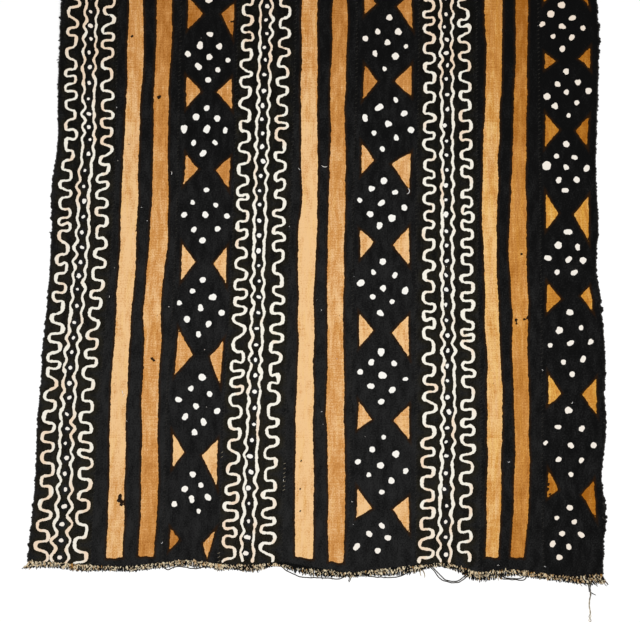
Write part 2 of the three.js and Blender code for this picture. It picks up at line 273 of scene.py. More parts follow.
# Mud splashes on the ochre, in millimetres, with their turn in degrees; then how lumpy and nicked they are
Splash = namedtuple("Splash", "x y radius oval turn")
SPLASHES = [
    Splash(-355, 298, 2.8, 0.1, 0),
    Splash(-302, 179, 4.0, 0.1, 30),
    Splash(-360, 88, 1.9, 0.2, 0),
    Splash(-348, -81, 1.7, 0.2, 40),
    Splash(-314, -332, 3.8, 0.5, -42),
    Splash(-379, -604, 6.0, 0.45, 80),
    Splash(-375, -613, 4.6, 0.35, 75),
    Splash(-25, -530, 2.1, 0.2, 90),
    Splash(-27, -585, 2.0, 0.2, 90),
    Splash(-27, -628, 2.1, 0.3, 70),
    Splash(-160, 326, 2.2, 0.2, 0),
    Splash(405, -127, 2.9, 0.1, 0),
    Splash(394, -255, 3.4, 0.1, 10),
    Splash(395, -262, 2.6, 0.2, 90),
    Splash(410, -254, 3.0, 0.2, 0),
    Splash(417, -250, 3.6, 0.2, 70),
    Splash(456, -566, 1.8, 0.3, 80),
    Splash(458, -576, 2.4, 0.3, 100),
    Splash(456, -586, 3.0, 0.3, 70),
    Splash(460, -595, 2.4, 0.2, 20),
]
SPLASH_LUMP, SPLASH_NICK = 0.12, 0.08

# The frayed end from left to right, in millimetres: x, how far the loose ends reach below the cut and lean
# sideways; then the share of them that is pale and how stained these are
Fray = namedtuple("Fray", "x reach lean pale stain")
FRAY = Fray(*np.array([
    (-558, 13, -13, 0.85, 0.15), (-546, 10, -7, 0.7, 0.2), (-507, 8, -1, 0.62, 0.3),
    (-468, 10, 1, 0.57, 0.3), (-410, 7, 0, 0.48, 0.2), (-340, 8, 1, 0.5, 0.15),
    (-273, 8, -1, 0.55, 0.3), (-234, 10, 0, 0.55, 0.3), (-199, 7, 1, 0.48, 0.2),
    (-184, 10, 0, 0.9, 0.1), (-170, 7, 0, 0.48, 0.15), (-117, 11, 1, 0.47, 0.3),
    (-78, 5, 0, 0.47, 0.3), (-30, 11.5, -1, 0.45, 0.2), (0, 12.5, 1, 0.43, 0.2),
    (50, 8, 0, 0.46, 0.25), (90, 7, 1, 0.46, 0.15), (156, 11.5, 0, 0.46, 0.15),
    (195, 10, -1, 0.45, 0.25), (234, 5, 0, 0.4, 0.3), (273, 9.5, 1, 0.42, 0.35),
    (312, 12.5, 0, 0.46, 0.3), (351, 13, -1, 0.46, 0.3), (385, 10, 0, 0.46, 0.35),
    (468, 9, 2, 0.56, 0.5), (500, 10.5, 7, 0.52, 0.5), (535, 13, 9, 0.52, 0.5), (562, 14, 7, 0.5, 0.5),
]).T)
# Where the loose ends stay dark below the cut, in millimetres: x, length of the dark roots
DARK_ROOTS = MM * np.array([(-90, 0), (-62, 4), (-30, 6), (5, 4), (35, 0)]).T
# The lean of a loose end is charted at this length of it
LEAN_LENGTH = 11.5 * MM
# Where a yarn that leaves the cut end starts to fall and where it reaches the floor, above and below the cut
FALL_STARTS, FALL_ENDS = 0.5 * MM, -3.5 * MM

# Pulled threads that sag below the frayed end, by strip: points x y along each, in millimetres
PULLED_THREADS = {
    3: [[(-296, -732), (-287, -742), (-271, -737), (-250, -737), (-240, -740), (-228, -740), (-212, -737)]],
    5: [[(-66, -732), (-53, -745), (-39, -751), (-27, -756), (10, -758), (35, -759), (52, -760),
         (64, -752)]],
    6: [[(94, -748), (104, -754), (129, -757), (148, -757), (168, -755), (186, -745)]],
    7: [[(222, -733), (234, -745), (246, -760), (261, -766), (277, -768), (287, -764), (304, -750)],
        [(226, -732), (240, -746), (252, -759), (263, -764), (277, -765), (289, -758), (301, -748)]],
    8: [[(356, -748), (364, -758), (378, -761), (395, -762), (412, -760), (417, -752)],
        [(360, -748), (370, -757), (388, -759), (405, -758), (416, -750)]],
}

# Short stray ends by strip, in millimetres: x and y of the start, run in x and y, bow; then how pale it is
LOOSE_BITS = {
    5: [(66, -748, 1, -17, 2.5, 0.05)],
    6: [(71, -752, -3, -15, 2.0, 0.05)],
    7: [(208, -741, 1, -14, -1.5, 0.5), (212, -743, 4, -15, 1.5, 0.4)],
    9: [(536, -783, 14, -9, -2.0, 0.02), (533, -768, 3, -14, 1.0, 0.05)],
}

# Stray ends that stand out of the two outer selvedges, as the short stray ends
SELVEDGE_TUFTS = {
    "left": [(-491, 293, -8, -4, 0.5, 0.02), (-491, 286, -7, 3, 0.5, 0.02),
             (-492, 280, -5, -2, 0.5, 0.02), (-492, 256, -10, -5, 1.0, 0.02),
             (-493, 250, -7, -4, 0.5, 0.02), (-511, -86, -6, 2, 0.5, 0.02)],
    "right": [(563, -612, 7, -11, 0.5, 0.02), (562, -640, 6, -7, 0.5, 0.02),
              (564, -455, 5, -4, 0.5, 0.02), (548, 86, 5, 3, 0.5, 0.02)],
}

# Where the seams' stitches are worn pale, in millimetres: seam, lower and upper height
WORN_STITCHES = [(3, -732, -700), (3, -530, -508), (4, -590, -535)]
# How pale the mud-dyed yarns are: stitches, worn stitches, pulled threads, weft loops of the selvedges
STITCH_PALE, WORN_PALE, THREAD_PALE, LOOP_PALE = 0.03, 0.4, 0.03, 0.01
# How stained their few pale places are
DARK_STAIN = 0.5

# The one long loose yarn: the strip it leaves, its x, its sway and the length of that sway
TAIL_STRIP, TAIL_X, TAIL_SWAY, TAIL_WAVE = 9, 529 * MM, 0.8 * MM, 12 * MM
TAIL_END = CAD_LOW.y

# Lint that shows most, in millimetres: x, y, length of the fibre
LINT_PLACES = MM * np.array([
    (20, 43, 12), (186, -5, 14), (-29, 39, 6), (-48, -73, 3), (-277, 31, 7), (-385, 159, 3),
    (-325, -62, 3), (-336, -36, 3), (-399, -210, 4), (-283, -230, 3), (15, -236, 4), (446, -353, 4),
    (380, -533, 6), (15, -434, 3), (74, -610, 4), (450, -736, 5), (359, -733, 5), (-373, -396, 7),
    (-371, -402, 7), (-365, -452, 3), (-60, -568, 4), (-296, -690, 5), (503, -417, 5),
])
# Scattered lint: how many fibres, and the least and most of their x, y and length
SCATTERED_LINT, LINT_LOW, LINT_HIGH = 30, (-0.47, -0.71, 1.0 * MM), (0.53, 0.84, 2.8 * MM)

# Grid of the strips: spacing of the face's points across and along in millimetres, faces of the face to one
# of the back, folds of the bake map, its gutters and the scale of the back on it
MEANDER_SPACING, BAR_SPACING, DIAMOND_SPACING = (2.0, 2.0), (2.4, 3.2), (2.5, 2.5)
COARSER, FOLDS, GUTTER, BACK_SCALE = 4, 4, 3 * MM, 0.3
# How far, and how far in, a strip's face falls off to its edges, and how often its mean width is measured
EDGE_FALL, EDGE_FALL_WIDTH, WIDTH_SAMPLES = 0.55 * MM, 2.4 * MM, 50

# Grains of the painted face: how many a metre along each axis of its map, then how finely they are broken up
FACE_GRAINS = {
    "ragged": (520, 420, 1, 2),
    "unsteady": (190, 170, 1, 2),
    "streaks": (560, 14, 1, 3),
    "ribbons": (210, 26, 1, 2),
    "tone": (22, 7, 1, 2),
    "blotches": (70, 26, 1, 4),
    "picks": (24, 620, 1, 2),
    "flecks": (420, 360, 1, 3),
    "patches": (16, 11, 1, 2),
    "nubs": (310, 240, 1, 1),
    "hue": (160, 12, 1, 2),
    "stains": (30, 14, 1, 2),
}
# How much of each grain there is in the ochre's depth and in how light the mud is
OCHRE_GRAINS = {"streaks": 0.4, "ribbons": 0.55, "blotches": 1.0, "tone": 0.5, "picks": 0.65, "flecks": 1.1}
MUD_GRAINS = {"blotches": 0.4, "flecks": 0.6}
# Between which values a grain turns into worn mud, patches of nubs, nubs and stains
WORN, PATCHED, NUBBED, STAINED = (0.4, 0.68), (0.55, 0.75), (0.66, 0.74), (0.5, 0.74)
# How dark nubs are away from the patches and how much darker in them, how golden the hue's grain makes the
# ochre, and how much more the dots take of the warmth
FEW_NUBS, MANY_NUBS, HUE_GOLDEN, DOT_WARMTH = 0.12, 0.5, 1.2, 2.2
# Painted shade in the weave's gaps, painted brightening of its yarns' backs, how strongly it stands out, how
# uneven it is
GAP_PAINTED_SHADE, YARN_PAINTED_LIGHT, WEAVE_STRENGTH, UNEVEN_WEAVE = 0.86, 0.2, 0.6, 0.8
# Grains of the other finishes: a metre along each axis, then how finely they are broken up
WEAVE_GRAIN, BACK_GRAIN, FLOOR_GRAIN = (500, 9, 1, 1), (45, 20, 1, 4), (3, 3, 3, 2)
YARN_PATCHES, YARN_FIBRES = (240, 160, 200, 2), (2600, 1500, 2600, 2)
# How much patches stain a yarn, how far and how strongly its fibres stand out; between which values the
# back's grain turns into stains
PATCH_STAIN, FIBRE_RELIEF, FIBRE_STRENGTH, BACK_STAINED = 1.5, 0.2 * MM, 0.5, (0.35, 0.65)
# How many sides a yarn and a thread have, and how many points there are along each kind
YARN_SIDES, THREAD_SIDES = 5, 4
YARN_POINTS, BIT_POINTS, THREAD_POINTS, TAIL_POINTS, STITCH_POINTS, LOOP_POINTS = 9, 5, 41, 110, 6, 7
# Finish of the cotton: roughness of the face, the back and the yarns or floor, shine, fuzz and its roughness
FACE_ROUGHNESS, BACK_ROUGHNESS, YARN_ROUGHNESS = 0.95, 0.97, 0.9
SHINE, FUZZ, FUZZ_ROUGHNESS = 0.08, 0.02, 0.5

# The stage: half width of the floor, how far it lies below the cloth, the shade of its darker patches, how
# far the light stands off the middle, and the camera's sensor width in millimetres
FLOOR_HALF, FLOOR_DROP, FLOOR_SHADE, KEY_SHIFT, SENSOR_WIDTH = 20.0, 0.2 * MM, 0.985, 0.12, 36


def screen(red, green, blue):
    """Linear colour of a screen colour from 0 to 255: the usual screen curve, undone."""
    value = np.array([red, green, blue]) / 255
    return tuple(np.where(value > 0.04045, ((value + 0.055) / 1.055) ** 2.4, value / 12.92))


def length(name, description, default):
    """A length property in metres."""
    return FloatProperty(
        name=name, description=description, default=default, min=0, subtype="DISTANCE", precision=5
    )


def colour(name, description, *rgb):
    """A colour property, given as a screen colour."""
    return FloatVectorProperty(
        name=name, description=description, default=screen(*rgb), min=0, max=1, size=3, subtype="COLOR"
    )


class ClothSizes(bpy.types.PropertyGroup):
    """Sizes of the weave, the painted marks and the yarns."""

    thickness: length("Thickness", "Thickness of the woven strips", 1.5 * MM)
    warp_pitch: length("Warp pitch", "Spacing of the warp yarns across a strip", 1.25 * MM)
    weft_pitch: length("Weft pitch", "Spacing of the weft yarns up a strip", 1.4 * MM)
    upright_line: length("Upright meander line", "Width of a meander line where it runs upright", 6.4 * MM)
    level_line: length("Level meander line", "Width of a meander line where it runs level", 4.6 * MM)
    wavy_line: length("Wavy line", "Width of the wavy lines beside the small dots", 5.0 * MM)
    small_dot: length("Small dot", "Diameter of the dots between the wavy lines", 7.4 * MM)
    large_dot: length("Large dot", "Diameter of the dots in the diamonds", 11.5 * MM)
    ragged: length("Ragged edge", "How far a painted edge strays along the yarns", 1.6 * MM)
    unsteady: length("Unsteady edge", "How far a painted edge strays with the hand", 3.0 * MM)
    soft_edge: length("Soft edge", "Half width in which a painted edge fades", 0.15 * MM)
    warm_reach: length("Warm reach", "How far from the cream lines the mud is warm", 16 * MM)
    brown_reach: length("Brown reach", "How far from the ochre the mud is brown", 6.5 * MM)
    weave_relief: length("Weave relief", "Height of the yarns' backs in the weave", 0.35 * MM)
    frayed_pitch: length("Frayed pitch", "Spacing of the loose warp ends", 0.8 * MM)
    clump: length("Clump", "Width of the clumps in which the loose warp ends cling together", 2.3 * MM)
    frayed_yarn: length("Frayed yarn", "Diameter of a loose warp end", 1.6 * MM)
    crimp_pitch: length("Crimp pitch", "Spacing of the crimped bits of yarn over the frayed end", 1.5 * MM)
    pulled_thread: length("Pulled thread", "Diameter of the threads that sag below the hem", 2.1 * MM)
    stray_end: length("Stray end", "Diameter of the short stray ends of yarn", 2.5 * MM)
    stitch_pitch: length("Stitch pitch", "Spacing of the sewing stitches along a seam", 8.5 * MM)
    stitch_thread: length("Stitch thread", "Diameter of the sewing thread", 0.7 * MM)
    selvedge_pitch: length("Selvedge pitch", "Spacing of the weft loops along a selvedge", 4.2 * MM)
    selvedge_yarn: length("Selvedge yarn", "Diameter of the weft loops", 2.2 * MM)


class ClothColours(bpy.types.PropertyGroup):
    """Colours of the mud, the paint and the yarns."""

    mud_black: colour("Mud black", "The painted mud ground", 7, 7, 7)
    mud_worn: colour("Worn mud", "The ground where the mud is thinner", 36, 36, 36)
    mud_warm: colour("Warm mud", "What the ground beside the cream lines keeps of its colour", 255, 236, 180)
    mud_brown: colour("Mud brown", "The mud's edge where it meets the ochre", 38, 21, 4)
    cream: colour("Cream", "The bleached lines", 234, 229, 216)
    peach: colour("Peach", "The bleached lines where some ochre is left", 232, 208, 182)
    chalk: colour("Chalk", "The bleached dots", 236, 233, 226)
    pale_ochre: colour("Pale ochre", "The palest of the ochre dye", 228, 186, 134)
    rich_ochre: colour("Rich ochre", "The middle of the ochre dye", 198, 138, 74)
    deep_ochre: colour("Deep ochre", "The deepest of the ochre dye", 153, 91, 26)
    gilding: colour("Gilding", "What the golden dye lets through of the ochre", 255, 250, 172)
    frayed_cream: colour("Frayed cream", "Clean cotton at the frayed ends", 240, 224, 190)
    frayed_tan: colour("Frayed tan", "Stained cotton at the frayed ends", 172, 126, 66)
    lint: colour("Lint", "Loose cotton lint", 228, 228, 230)
    back: colour("Back", "The cloth's unpainted back", 70, 58, 46)


class StudioSettings(bpy.types.PropertyGroup):
    """The camera, the light and the floor."""

    camera_height: length("Camera height", "Height of the camera above the floor", 4.0)
    key_height: length("Key height", "Height of the soft light above the floor", 2.4)
    key_size: length("Key size", "Width of the soft light", 1.6)
    key_power: FloatProperty(
        name="Key power", description="Power of the soft light", default=49, unit="POWER"
    )
    fill: FloatProperty(
        name="Fill", description="Brightness of the light from all round", default=0.45, min=0
    )
    floor: colour("Floor", "The plain pale floor", 252, 252, 252)


def smooth_through(places, values, at):
    """Smooth curve through chart rows, held level past both ends.

    Between two rows it is the cubic whose slope at each row is the mean of the straight slopes beside it.
    """
    at = np.clip(at, places[0], places[-1])
    straight = np.diff(values) / np.diff(places)
    slope = np.concatenate([straight[:1], (straight[1:] + straight[:-1]) / 2, straight[-1:]])
    row = np.clip(np.searchsorted(places, at, side="right") - 1, 0, len(places) - 2)
    gap = places[row + 1] - places[row]
    t = (at - places[row]) / gap
    start = (1 + 2 * t) * (1 - t) ** 2 * values[row] + t * (1 - t) ** 2 * gap * slope[row]
    end = t * t * (3 - 2 * t) * values[row + 1] - t * t * (1 - t) * gap * slope[row + 1]
    return start + end


def smooth_step(value, low, high):
    """Soft step from 0 at low to 1 at high: of the share between, three squares less two cubes."""
    t = np.clip((value - low) / (high - low), 0, 1)
    return t * t * (3 - 2 * t)


def wander(rng, at, step, size):
    """Smooth random curve: normal random values of that size at knots one step apart, smoothly joined."""
    knots = np.arange(at.min() - step, at.max() + 2 * step, step)
    return smooth_through(knots, rng.normal(0, size, len(knots)), at)


# The ten lines that bound the strips, from left to right, each as heights and x
EDGE_LINES = [
    (SELVEDGES[:, 0], SELVEDGES[:, 1]),
    *[(SEAMS[:, 0], SEAMS[:, seam]) for seam in range(1, STRIPS)],
    (SELVEDGES[:, 0], SELVEDGES[:, 2]),
]


def strip_edges(strip, y):
    """Left and right edge of a strip at heights y, pressed a hair past its bounding lines by the sewing."""
    left = smooth_through(*EDGE_LINES[strip - 1], y) - SEAM_OVERLAP / 2
    right = smooth_through(*EDGE_LINES[strip], y) + SEAM_OVERLAP / 2
    return left, right


def up_cloth(chart, y):
    """Smooth curve through a chart of heights in millimetres and values, at heights y."""
    return smooth_through(chart[0] * MM, chart[1], y)


def hem_at(strips_across):
    """Height of the cut lower end, by how many strips from the left it is."""
    return smooth_through(np.arange(len(HEM)) / 2, HEM, np.asarray(strips_across, float))


def cut_at(strip, x):
    """Height of a strip's cut end at x."""
    left, right = strip_edges(strip, hem_at(strip - 0.5))
    return hem_at(strip - 1 + (x - left) / (right - left))


def ridge(distance):
    """Soft ridge: the squared cosine of a quarter turn times the distance, and 0 past distance 1."""
    return np.cos(np.clip(distance, -1, 1) * np.pi / 2) ** 2


def ripple_lift(x, y, hem):
    """Lift off the floor: the sum of ripples, each a ridge along times one across, faded out at the hem."""
    lift = np.zeros(np.shape(x))
    for row in RIPPLES:
        turn = np.radians(row.turn)
        off_x, off_y = x - row.x * MM, y - row.y * MM
        along = (off_x * np.cos(turn) + off_y * np.sin(turn)) / (row.along * MM)
        across = (off_y * np.cos(turn) - off_x * np.sin(turn)) / (row.across * MM)
        lift = lift + row.height * MM * ridge(along) * ridge(across)
    return lift * smooth_step(y - hem, RIPPLE_CLEAR, RIPPLE_FULL)


def selvedge_bumps(line, y):
    """How far an outer selvedge stands out at heights y, where the weft was slack: a smooth random curve."""
    rng = np.random.default_rng(SELVEDGE_SEED + line)
    knots = np.arange(CAD_LOW.y, TOP_END + BUMP_STEP, BUMP_STEP)
    slack = np.exp(wander(rng, knots, *SLACK_STRAYS))
    return smooth_through(knots, np.abs(rng.normal(0, BUMP_SIZE, len(knots))) * slack, y)


def strip_surface(strip, columns, rows):
    """Grid of a strip's underside: y from cut end to upper end, x from edge to edge, z the ripples' lift.

    Also returns how far each point lies in from the nearer edge.
    """
    across, along = np.meshgrid(np.linspace(0, 1, columns + 1), np.linspace(0, 1, rows + 1))
    hem = hem_at(strip - 1 + across)
    y = hem + (TOP_END - hem) * along
    left, right = strip_edges(strip, y)
    if strip == 1:
        left = left - selvedge_bumps(0, y)
    if strip == STRIPS:
        right = right + selvedge_bumps(STRIPS, y)
    x = left + (right - left) * across
    return x, y, ripple_lift(x, y, hem), np.minimum(x - left, right - x)


def stroke_depth(x, y, line_x, line_y, half_width):
    """How deep a point lies in a painted stroke: the most of half width less distance, over its points near.

    The stroke climbs the cloth, so each row of points looks only at the part of it near its own height.
    """
    nearest = np.searchsorted(np.maximum.accumulate(line_y), y.mean(axis=1))
    depth = np.full(x.shape, -FAR)
    for step in range(-STROKE_REACH, STROKE_REACH + 1):
        at = np.clip(nearest + step, 0, len(line_x) - 1)[:, None]
        depth = np.maximum(depth, half_width[at] - np.hypot(x - line_x[at], y - line_y[at]))
    return depth


def blob_depth(x, y, blobs):
    """How deep a point lies in the nearest daub: the daub's rim less the distance from its middle.

    A daub's rim at angle a is its radius times the sum of one, its oval times cos 2a, its lump times cos 3a
    and its nick times cos 5a.
    """
    depth = np.full(x.shape, -FAR)
    for middle_x, middle_y, radius, oval, lump, nick, turn in blobs:
        off_x, off_y = x - middle_x, y - middle_y
        angle = np.arctan2(off_y, off_x) - turn
        rim = radius * (1 + oval * np.cos(2 * angle) + lump * np.cos(3 * angle) + nick * np.cos(5 * angle))
        depth = np.maximum(depth, rim - np.hypot(off_x, off_y))
    return depth


def daubs(rng, x, y, diameter, spread):
    """Rows for blob_depth: daubs of about that diameter, each a little oval and lumpy in its own way."""
    count = len(x)
    radius = diameter / 2 * np.exp(rng.normal(0, spread, count))
    oval = np.minimum(np.abs(rng.normal(0, spread, count)), MOST_OVAL)
    lump, nick = rng.normal(0, LUMPINESS, (2, count)) * [[1], [NICK_SHARE]]
    return np.column_stack([x, y, radius, oval, lump, nick, rng.uniform(0, 2 * np.pi, count)])


def triangle_depth(x, y, corners, bows):
    """How deep a point lies in a triangle: the least of its distances inside the three sides.

    The corners go round anticlockwise. Each side is a parabola that bows out by its own small height.
    """
    depth = np.full(x.shape, FAR)
    for start, end, bow in zip(corners, np.roll(corners, -1, axis=0), bows):
        side = end - start
        size = np.hypot(*side)
        along = np.clip(((x - start[0]) * side[0] + (y - start[1]) * side[1]) / size**2, 0, 1)
        inside = ((y - start[1]) * side[0] - (x - start[0]) * side[1]) / size
        depth = np.minimum(depth, inside + 4 * bow * along * (1 - along))
    return depth


def paced(rng, low, high, repeats, strays):
    """Heights up the cloth and the repeats gone by at each, for a repeat that follows the rhythm chart."""
    heights = np.arange(low, high, MM)
    size = smooth_through(RHYTHM.height, repeats, heights)
    size = size * np.exp(wander(rng, heights, *strays))
    return heights, np.cumsum(MM / size)


def meander_stroke(rng, low, high, middle_of, size):
    """Points and half widths of a meander line.

    The brush turns about a quarter to one side, runs level, turns back through upright to the other side,
    and so on. Its turn is the hyperbolic tangent of the suddenness times the sine of the phase, the sine
    raised to a power that makes the bends rounder or squarer. The line is bolder where it runs upright, and
    the hand is unsteady.
    """
    heights, counted = paced(rng, low, high, RHYTHM.repeat, MEANDER_PACE)
    cycles = counted[-1]
    phase = np.arange(0, 2 * np.pi * cycles, np.pi / HALF_REPEAT) + rng.uniform(0, 2 * np.pi)
    arc = np.arange(len(phase)) * MM
    side = np.sin(phase)
    squareness = SQUARENESS * np.exp(wander(rng, arc, *SQUARENESS_STRAYS))
    steepness = STEEPNESS * np.exp(wander(rng, arc, *STEEPNESS_STRAYS))
    bend = np.sign(side) * np.abs(side) ** squareness
    turn = steepness * np.tanh(SUDDENNESS * bend) / np.tanh(SUDDENNESS)
    climb = np.cumsum(np.cos(turn))
    sway = np.cumsum(np.sin(turn))
    halves = sway[::HALF_REPEAT]
    sway = sway - np.interp(phase, phase[::HALF_REPEAT], (halves + np.roll(halves, -1)) / 2)
    sway = sway / np.quantile(np.abs(sway), WITHIN_SWING)
    y = np.interp(climb * cycles / climb[-1], counted, heights)
    swing = smooth_through(RHYTHM.height, RHYTHM.swing, y) * np.exp(wander(rng, arc, *SWING_STRAYS))
    x = middle_of(y) + swing * sway + wander(rng, arc, *SIDEWAYS_STRAYS)
    y = y + wander(rng, arc, *UPWARDS_STRAYS)
    width = size.level_line + (size.upright_line - size.level_line) * np.cos(turn) ** 2
    return x, y, width / 2 * up_cloth(BOLDNESS, y) * np.exp(wander(rng, arc, *WIDTH_STRAYS))


def wavy_stroke(rng, heights, counted, middle_of, bow_of, size):
    """Points and half widths of a wavy line: it bows out at each dot, by the cosine of the dots' phase."""
    bow = bow_of(heights) * np.exp(wander(rng, heights, *BOW_STRAYS))
    bowed = middle_of(heights) + bow * np.cos(2 * np.pi * (counted - 0.5))
    x = bowed + wander(rng, heights, *WAVY_STRAYS)
    bold = up_cloth(BOLDNESS, heights) * np.exp(wander(rng, heights, *WAVY_WIDTH_STRAYS))
    return x, heights, size.wavy_line / 2 * bold


def meander_paint(strip, x, y, size):
    """Painted depths of a meander strip: two meanders, two wavy lines between them, dots between these."""
    rng = np.random.default_rng(MEANDER_SEED + strip)
    places = MeanderPlaces(*MM * np.array(MEANDER_PLACES[strip]).T)
    low, high = hem_at(strip - 0.5) + MEANDER_FOOT[strip], TOP_END - PLAIN_HEAD

    def charted(column):
        return lambda heights: smooth_through(places.height, column, heights)

    def middle_of(column):
        return lambda heights: strip_edges(strip, heights)[0] + charted(column)(heights)

    heights, counted = paced(rng, low, high, RHYTHM.spacing, DOT_PACE)
    strokes = [
        meander_stroke(rng, low, high, middle_of(places.left_meander), size),
        wavy_stroke(rng, heights, counted, middle_of(places.left_line), charted(-places.left_bow), size),
        wavy_stroke(rng, heights, counted, middle_of(places.right_line), charted(places.right_bow), size),
        meander_stroke(rng, low, high, middle_of(places.right_meander), size),
    ]
    lines = np.maximum.reduce([stroke_depth(x, y, *stroke) for stroke in strokes])
    dot_y = np.interp(np.arange(int(counted[-1])) + 0.5, counted, heights)
    dot_x = middle_of(places.dots)(dot_y) + rng.normal(0, SMALL_DOT_SCATTER, len(dot_y))
    dots = blob_depth(x, y, daubs(rng, dot_x, dot_y, size.small_dot, SMALL_DOT_SPREAD))
    return {"cream": np.maximum(lines, dots), "chalk": (dots > lines).astype(float)}


def splash_depth(x, y):
    """How deep a point lies in the nearest mud splash."""
    rows = [
        (row.x * MM, row.y * MM, row.radius * MM, row.oval, SPLASH_LUMP, SPLASH_NICK, np.radians(row.turn))
        for row in SPLASHES
    ]
    return blob_depth(x, y, rows)


def bar_paint(strip, x, y, _):
    """Painted depths of a barred strip: inside a bar, the least distance to its sides, foot and head."""
    rng = np.random.default_rng(BAR_SEED + strip)
    chart = MM * np.array(BARS[strip], float).T
    feet = MM * np.array(BAR_FEET[strip])
    lines = []
    for line in chart[1:]:
        strayed = smooth_through(chart[0], line, y) + wander(rng, y, *BAR_SIDE_STRAYS)
        lines.append(strayed + wander(rng, y, *BAR_RIM_STRAYS))
    ochre = np.full(x.shape, -FAR)
    for bar in (0, 1):
        left, right = lines[2 * bar], lines[2 * bar + 1]
        foot = np.interp(x, chart[1 + 2 * bar : 3 + 2 * bar, 0], feet[2 * bar : 2 * bar + 2])
        foot = foot + wander(rng, x, *BAR_END_STRAYS)
        head = TOP_END - PLAIN_HEAD + wander(rng, x, *BAR_END_STRAYS)
        ochre = np.maximum(ochre, np.minimum.reduce([x - left, right - x, y - foot, head - y]))
    pale, deep = BAR_DYES[strip]
    return {"ochre": ochre, "dye": np.where(x < (lines[1] + lines[2]) / 2, pale, deep)}


def diamond_dots(rng, strip, middle_y, chart):
    """Middles of a diamond's dots: a leaning three by three lattice about its middle, less those missing."""
    step = np.array([-1, 0, 1])
    up_right = MM * np.array([chart.right_x, chart.right_y])
    up_left = MM * np.array([chart.left_x, chart.left_y])
    lattice = (step[:, None, None] * up_right + step[None, :, None] * up_left).reshape(-1, 2)
    lattice = np.delete(lattice[np.argsort(-lattice[:, 1])], chart.missing, axis=0)
    middle = (np.mean(strip_edges(strip, np.array(middle_y))) + chart.x * MM, middle_y + chart.y * MM)
    return lattice + middle + rng.normal(0, LARGE_DOT_SCATTER, lattice.shape)


def diamond_paint(strip, x, y, size):
    """Painted depths of a diamond strip: two ochre triangles point inwards at each waist, dots between."""
    rng = np.random.default_rng(DIAMOND_SEED + strip)
    insets = MM * np.array(TRIANGLE_INSETS[strip]) * [1, -1]
    shaky_x = x + wander(rng, y, *TRIANGLE_STRAYS)
    shaky_y = y + wander(rng, x, *TRIANGLE_STRAYS)
    ochre = np.full(x.shape, -FAR)
    dye = np.zeros(x.shape)
    for waist in WAISTS[strip]:
        row = Waist(*(MM * np.array(waist)))
        slant = rng.normal(0, TRIANGLE_SLANT, 2)
        left_y = row.y + np.array([row.left_up, -row.left_down, 0])
        left_x = strip_edges(strip, left_y)[0] + insets[0] + [slant[0], -slant[0], row.left_depth]
        right_y = row.y - row.drop + np.array([-row.right_down, row.right_up, 0])
        right_x = strip_edges(strip, right_y)[1] + insets[1]
        right_x = right_x - [row.skew - slant[1], slant[1], row.right_depth]
        for corner_x, corner_y, paler in ((left_x, left_y, 0), (right_x, right_y, waist.paler)):
            corners = np.stack([corner_x, corner_y], axis=-1)
            triangle = triangle_depth(shaky_x, shaky_y, corners, rng.normal(0, TRIANGLE_BOW, 3))
            dyed = waist.dye - paler + rng.normal(0, TRIANGLE_DYE_SPREAD)
            dye = np.where(triangle > ochre, dyed, dye)
            ochre = np.maximum(ochre, triangle)
    heights = MM * np.array([waist.y for waist in WAISTS[strip]])
    middles = np.append((heights[1:] + heights[:-1]) / 2, heights[-1] - LAST_DIAMOND_DROP)
    dots = [diamond_dots(rng, strip, middle, chart) for middle, chart in zip(middles, DOTS[strip])]
    dot_x, dot_y = np.concatenate(dots).T
    cream = blob_depth(x, y, daubs(rng, dot_x, dot_y, size.large_dot, LARGE_DOT_SPREAD))
    return {"cream": cream, "chalk": np.ones(x.shape), "ochre": ochre, "dye": dye}


def painted_marks(strip, x, y, paint, size):
    """All that the painted face stores at each point.

    The depths in the cream and in the ochre, less the mud splashes; how far the cream is chalky and warm;
    how deep and how golden the ochre is; and how much lighter the mud is made by height and strip.
    """
    none = np.zeros(x.shape)
    marks = {"cream": none - FAR, "ochre": none - FAR, "chalk": none, "dye": none}
    marks.update(paint(strip, x, y, size))
    marks["ochre"] = np.minimum(marks["ochre"], -splash_depth(x, y))
    foot = FOOT_DYE.get(strip, USUAL_FOOT_DYE) * smooth_step(y, FOOT_TOP, FOOT_LOW)
    marks["dye"] = marks["dye"] + up_cloth(DYE, y) + foot
    marks["golden"] = none + GOLDEN.get(strip, 0)
    marks["warm"] = up_cloth(WARMTH, y) + STRIP_WARMTH.get(strip, 0)
    marks["mud_lighter"] = up_cloth(MUD_LIGHTER_UP_CLOTH, y) + MUD_LIGHTER_BY_STRIP.get(strip, 0)
    return marks


def new_mesh(name, points, face_groups):
    """Mesh from an array of points and arrays of faces, each face a row of point numbers."""
    corners = np.concatenate([group.ravel() for group in face_groups])
    sides = np.concatenate([np.full(len(group), group.shape[1]) for group in face_groups])
    mesh = bpy.data.meshes.new(name)
    mesh.vertices.add(len(points))
    mesh.vertices.foreach_set("co", np.ascontiguousarray(points, np.float32).ravel())
    mesh.loops.add(len(corners))
    mesh.loops.foreach_set("vertex_index", corners.astype(np.int32))
    mesh.polygons.add(len(sides))
    mesh.polygons.foreach_set("loop_start", (np.cumsum(sides) - sides).astype(np.int32))
    mesh.update(calc_edges=True)
    if mesh.validate():
        raise RuntimeError(f"{name} has faces that share all their corners or use one corner twice")
    return mesh


def add_attribute(mesh, name, values):
    """Stores one number for each point of a mesh."""
    attribute = mesh.attributes.new(name, "FLOAT", "POINT")
    attribute.data.foreach_set("value", np.ascontiguousarray(values, np.float32).ravel())


def add_map(mesh, name, corners):
    """Stores a place on a map for each face corner of a mesh."""
    layer = mesh.uv_layers.new(name=name)
    layer.data.foreach_set("uv", np.ascontiguousarray(corners, np.float32).ravel())


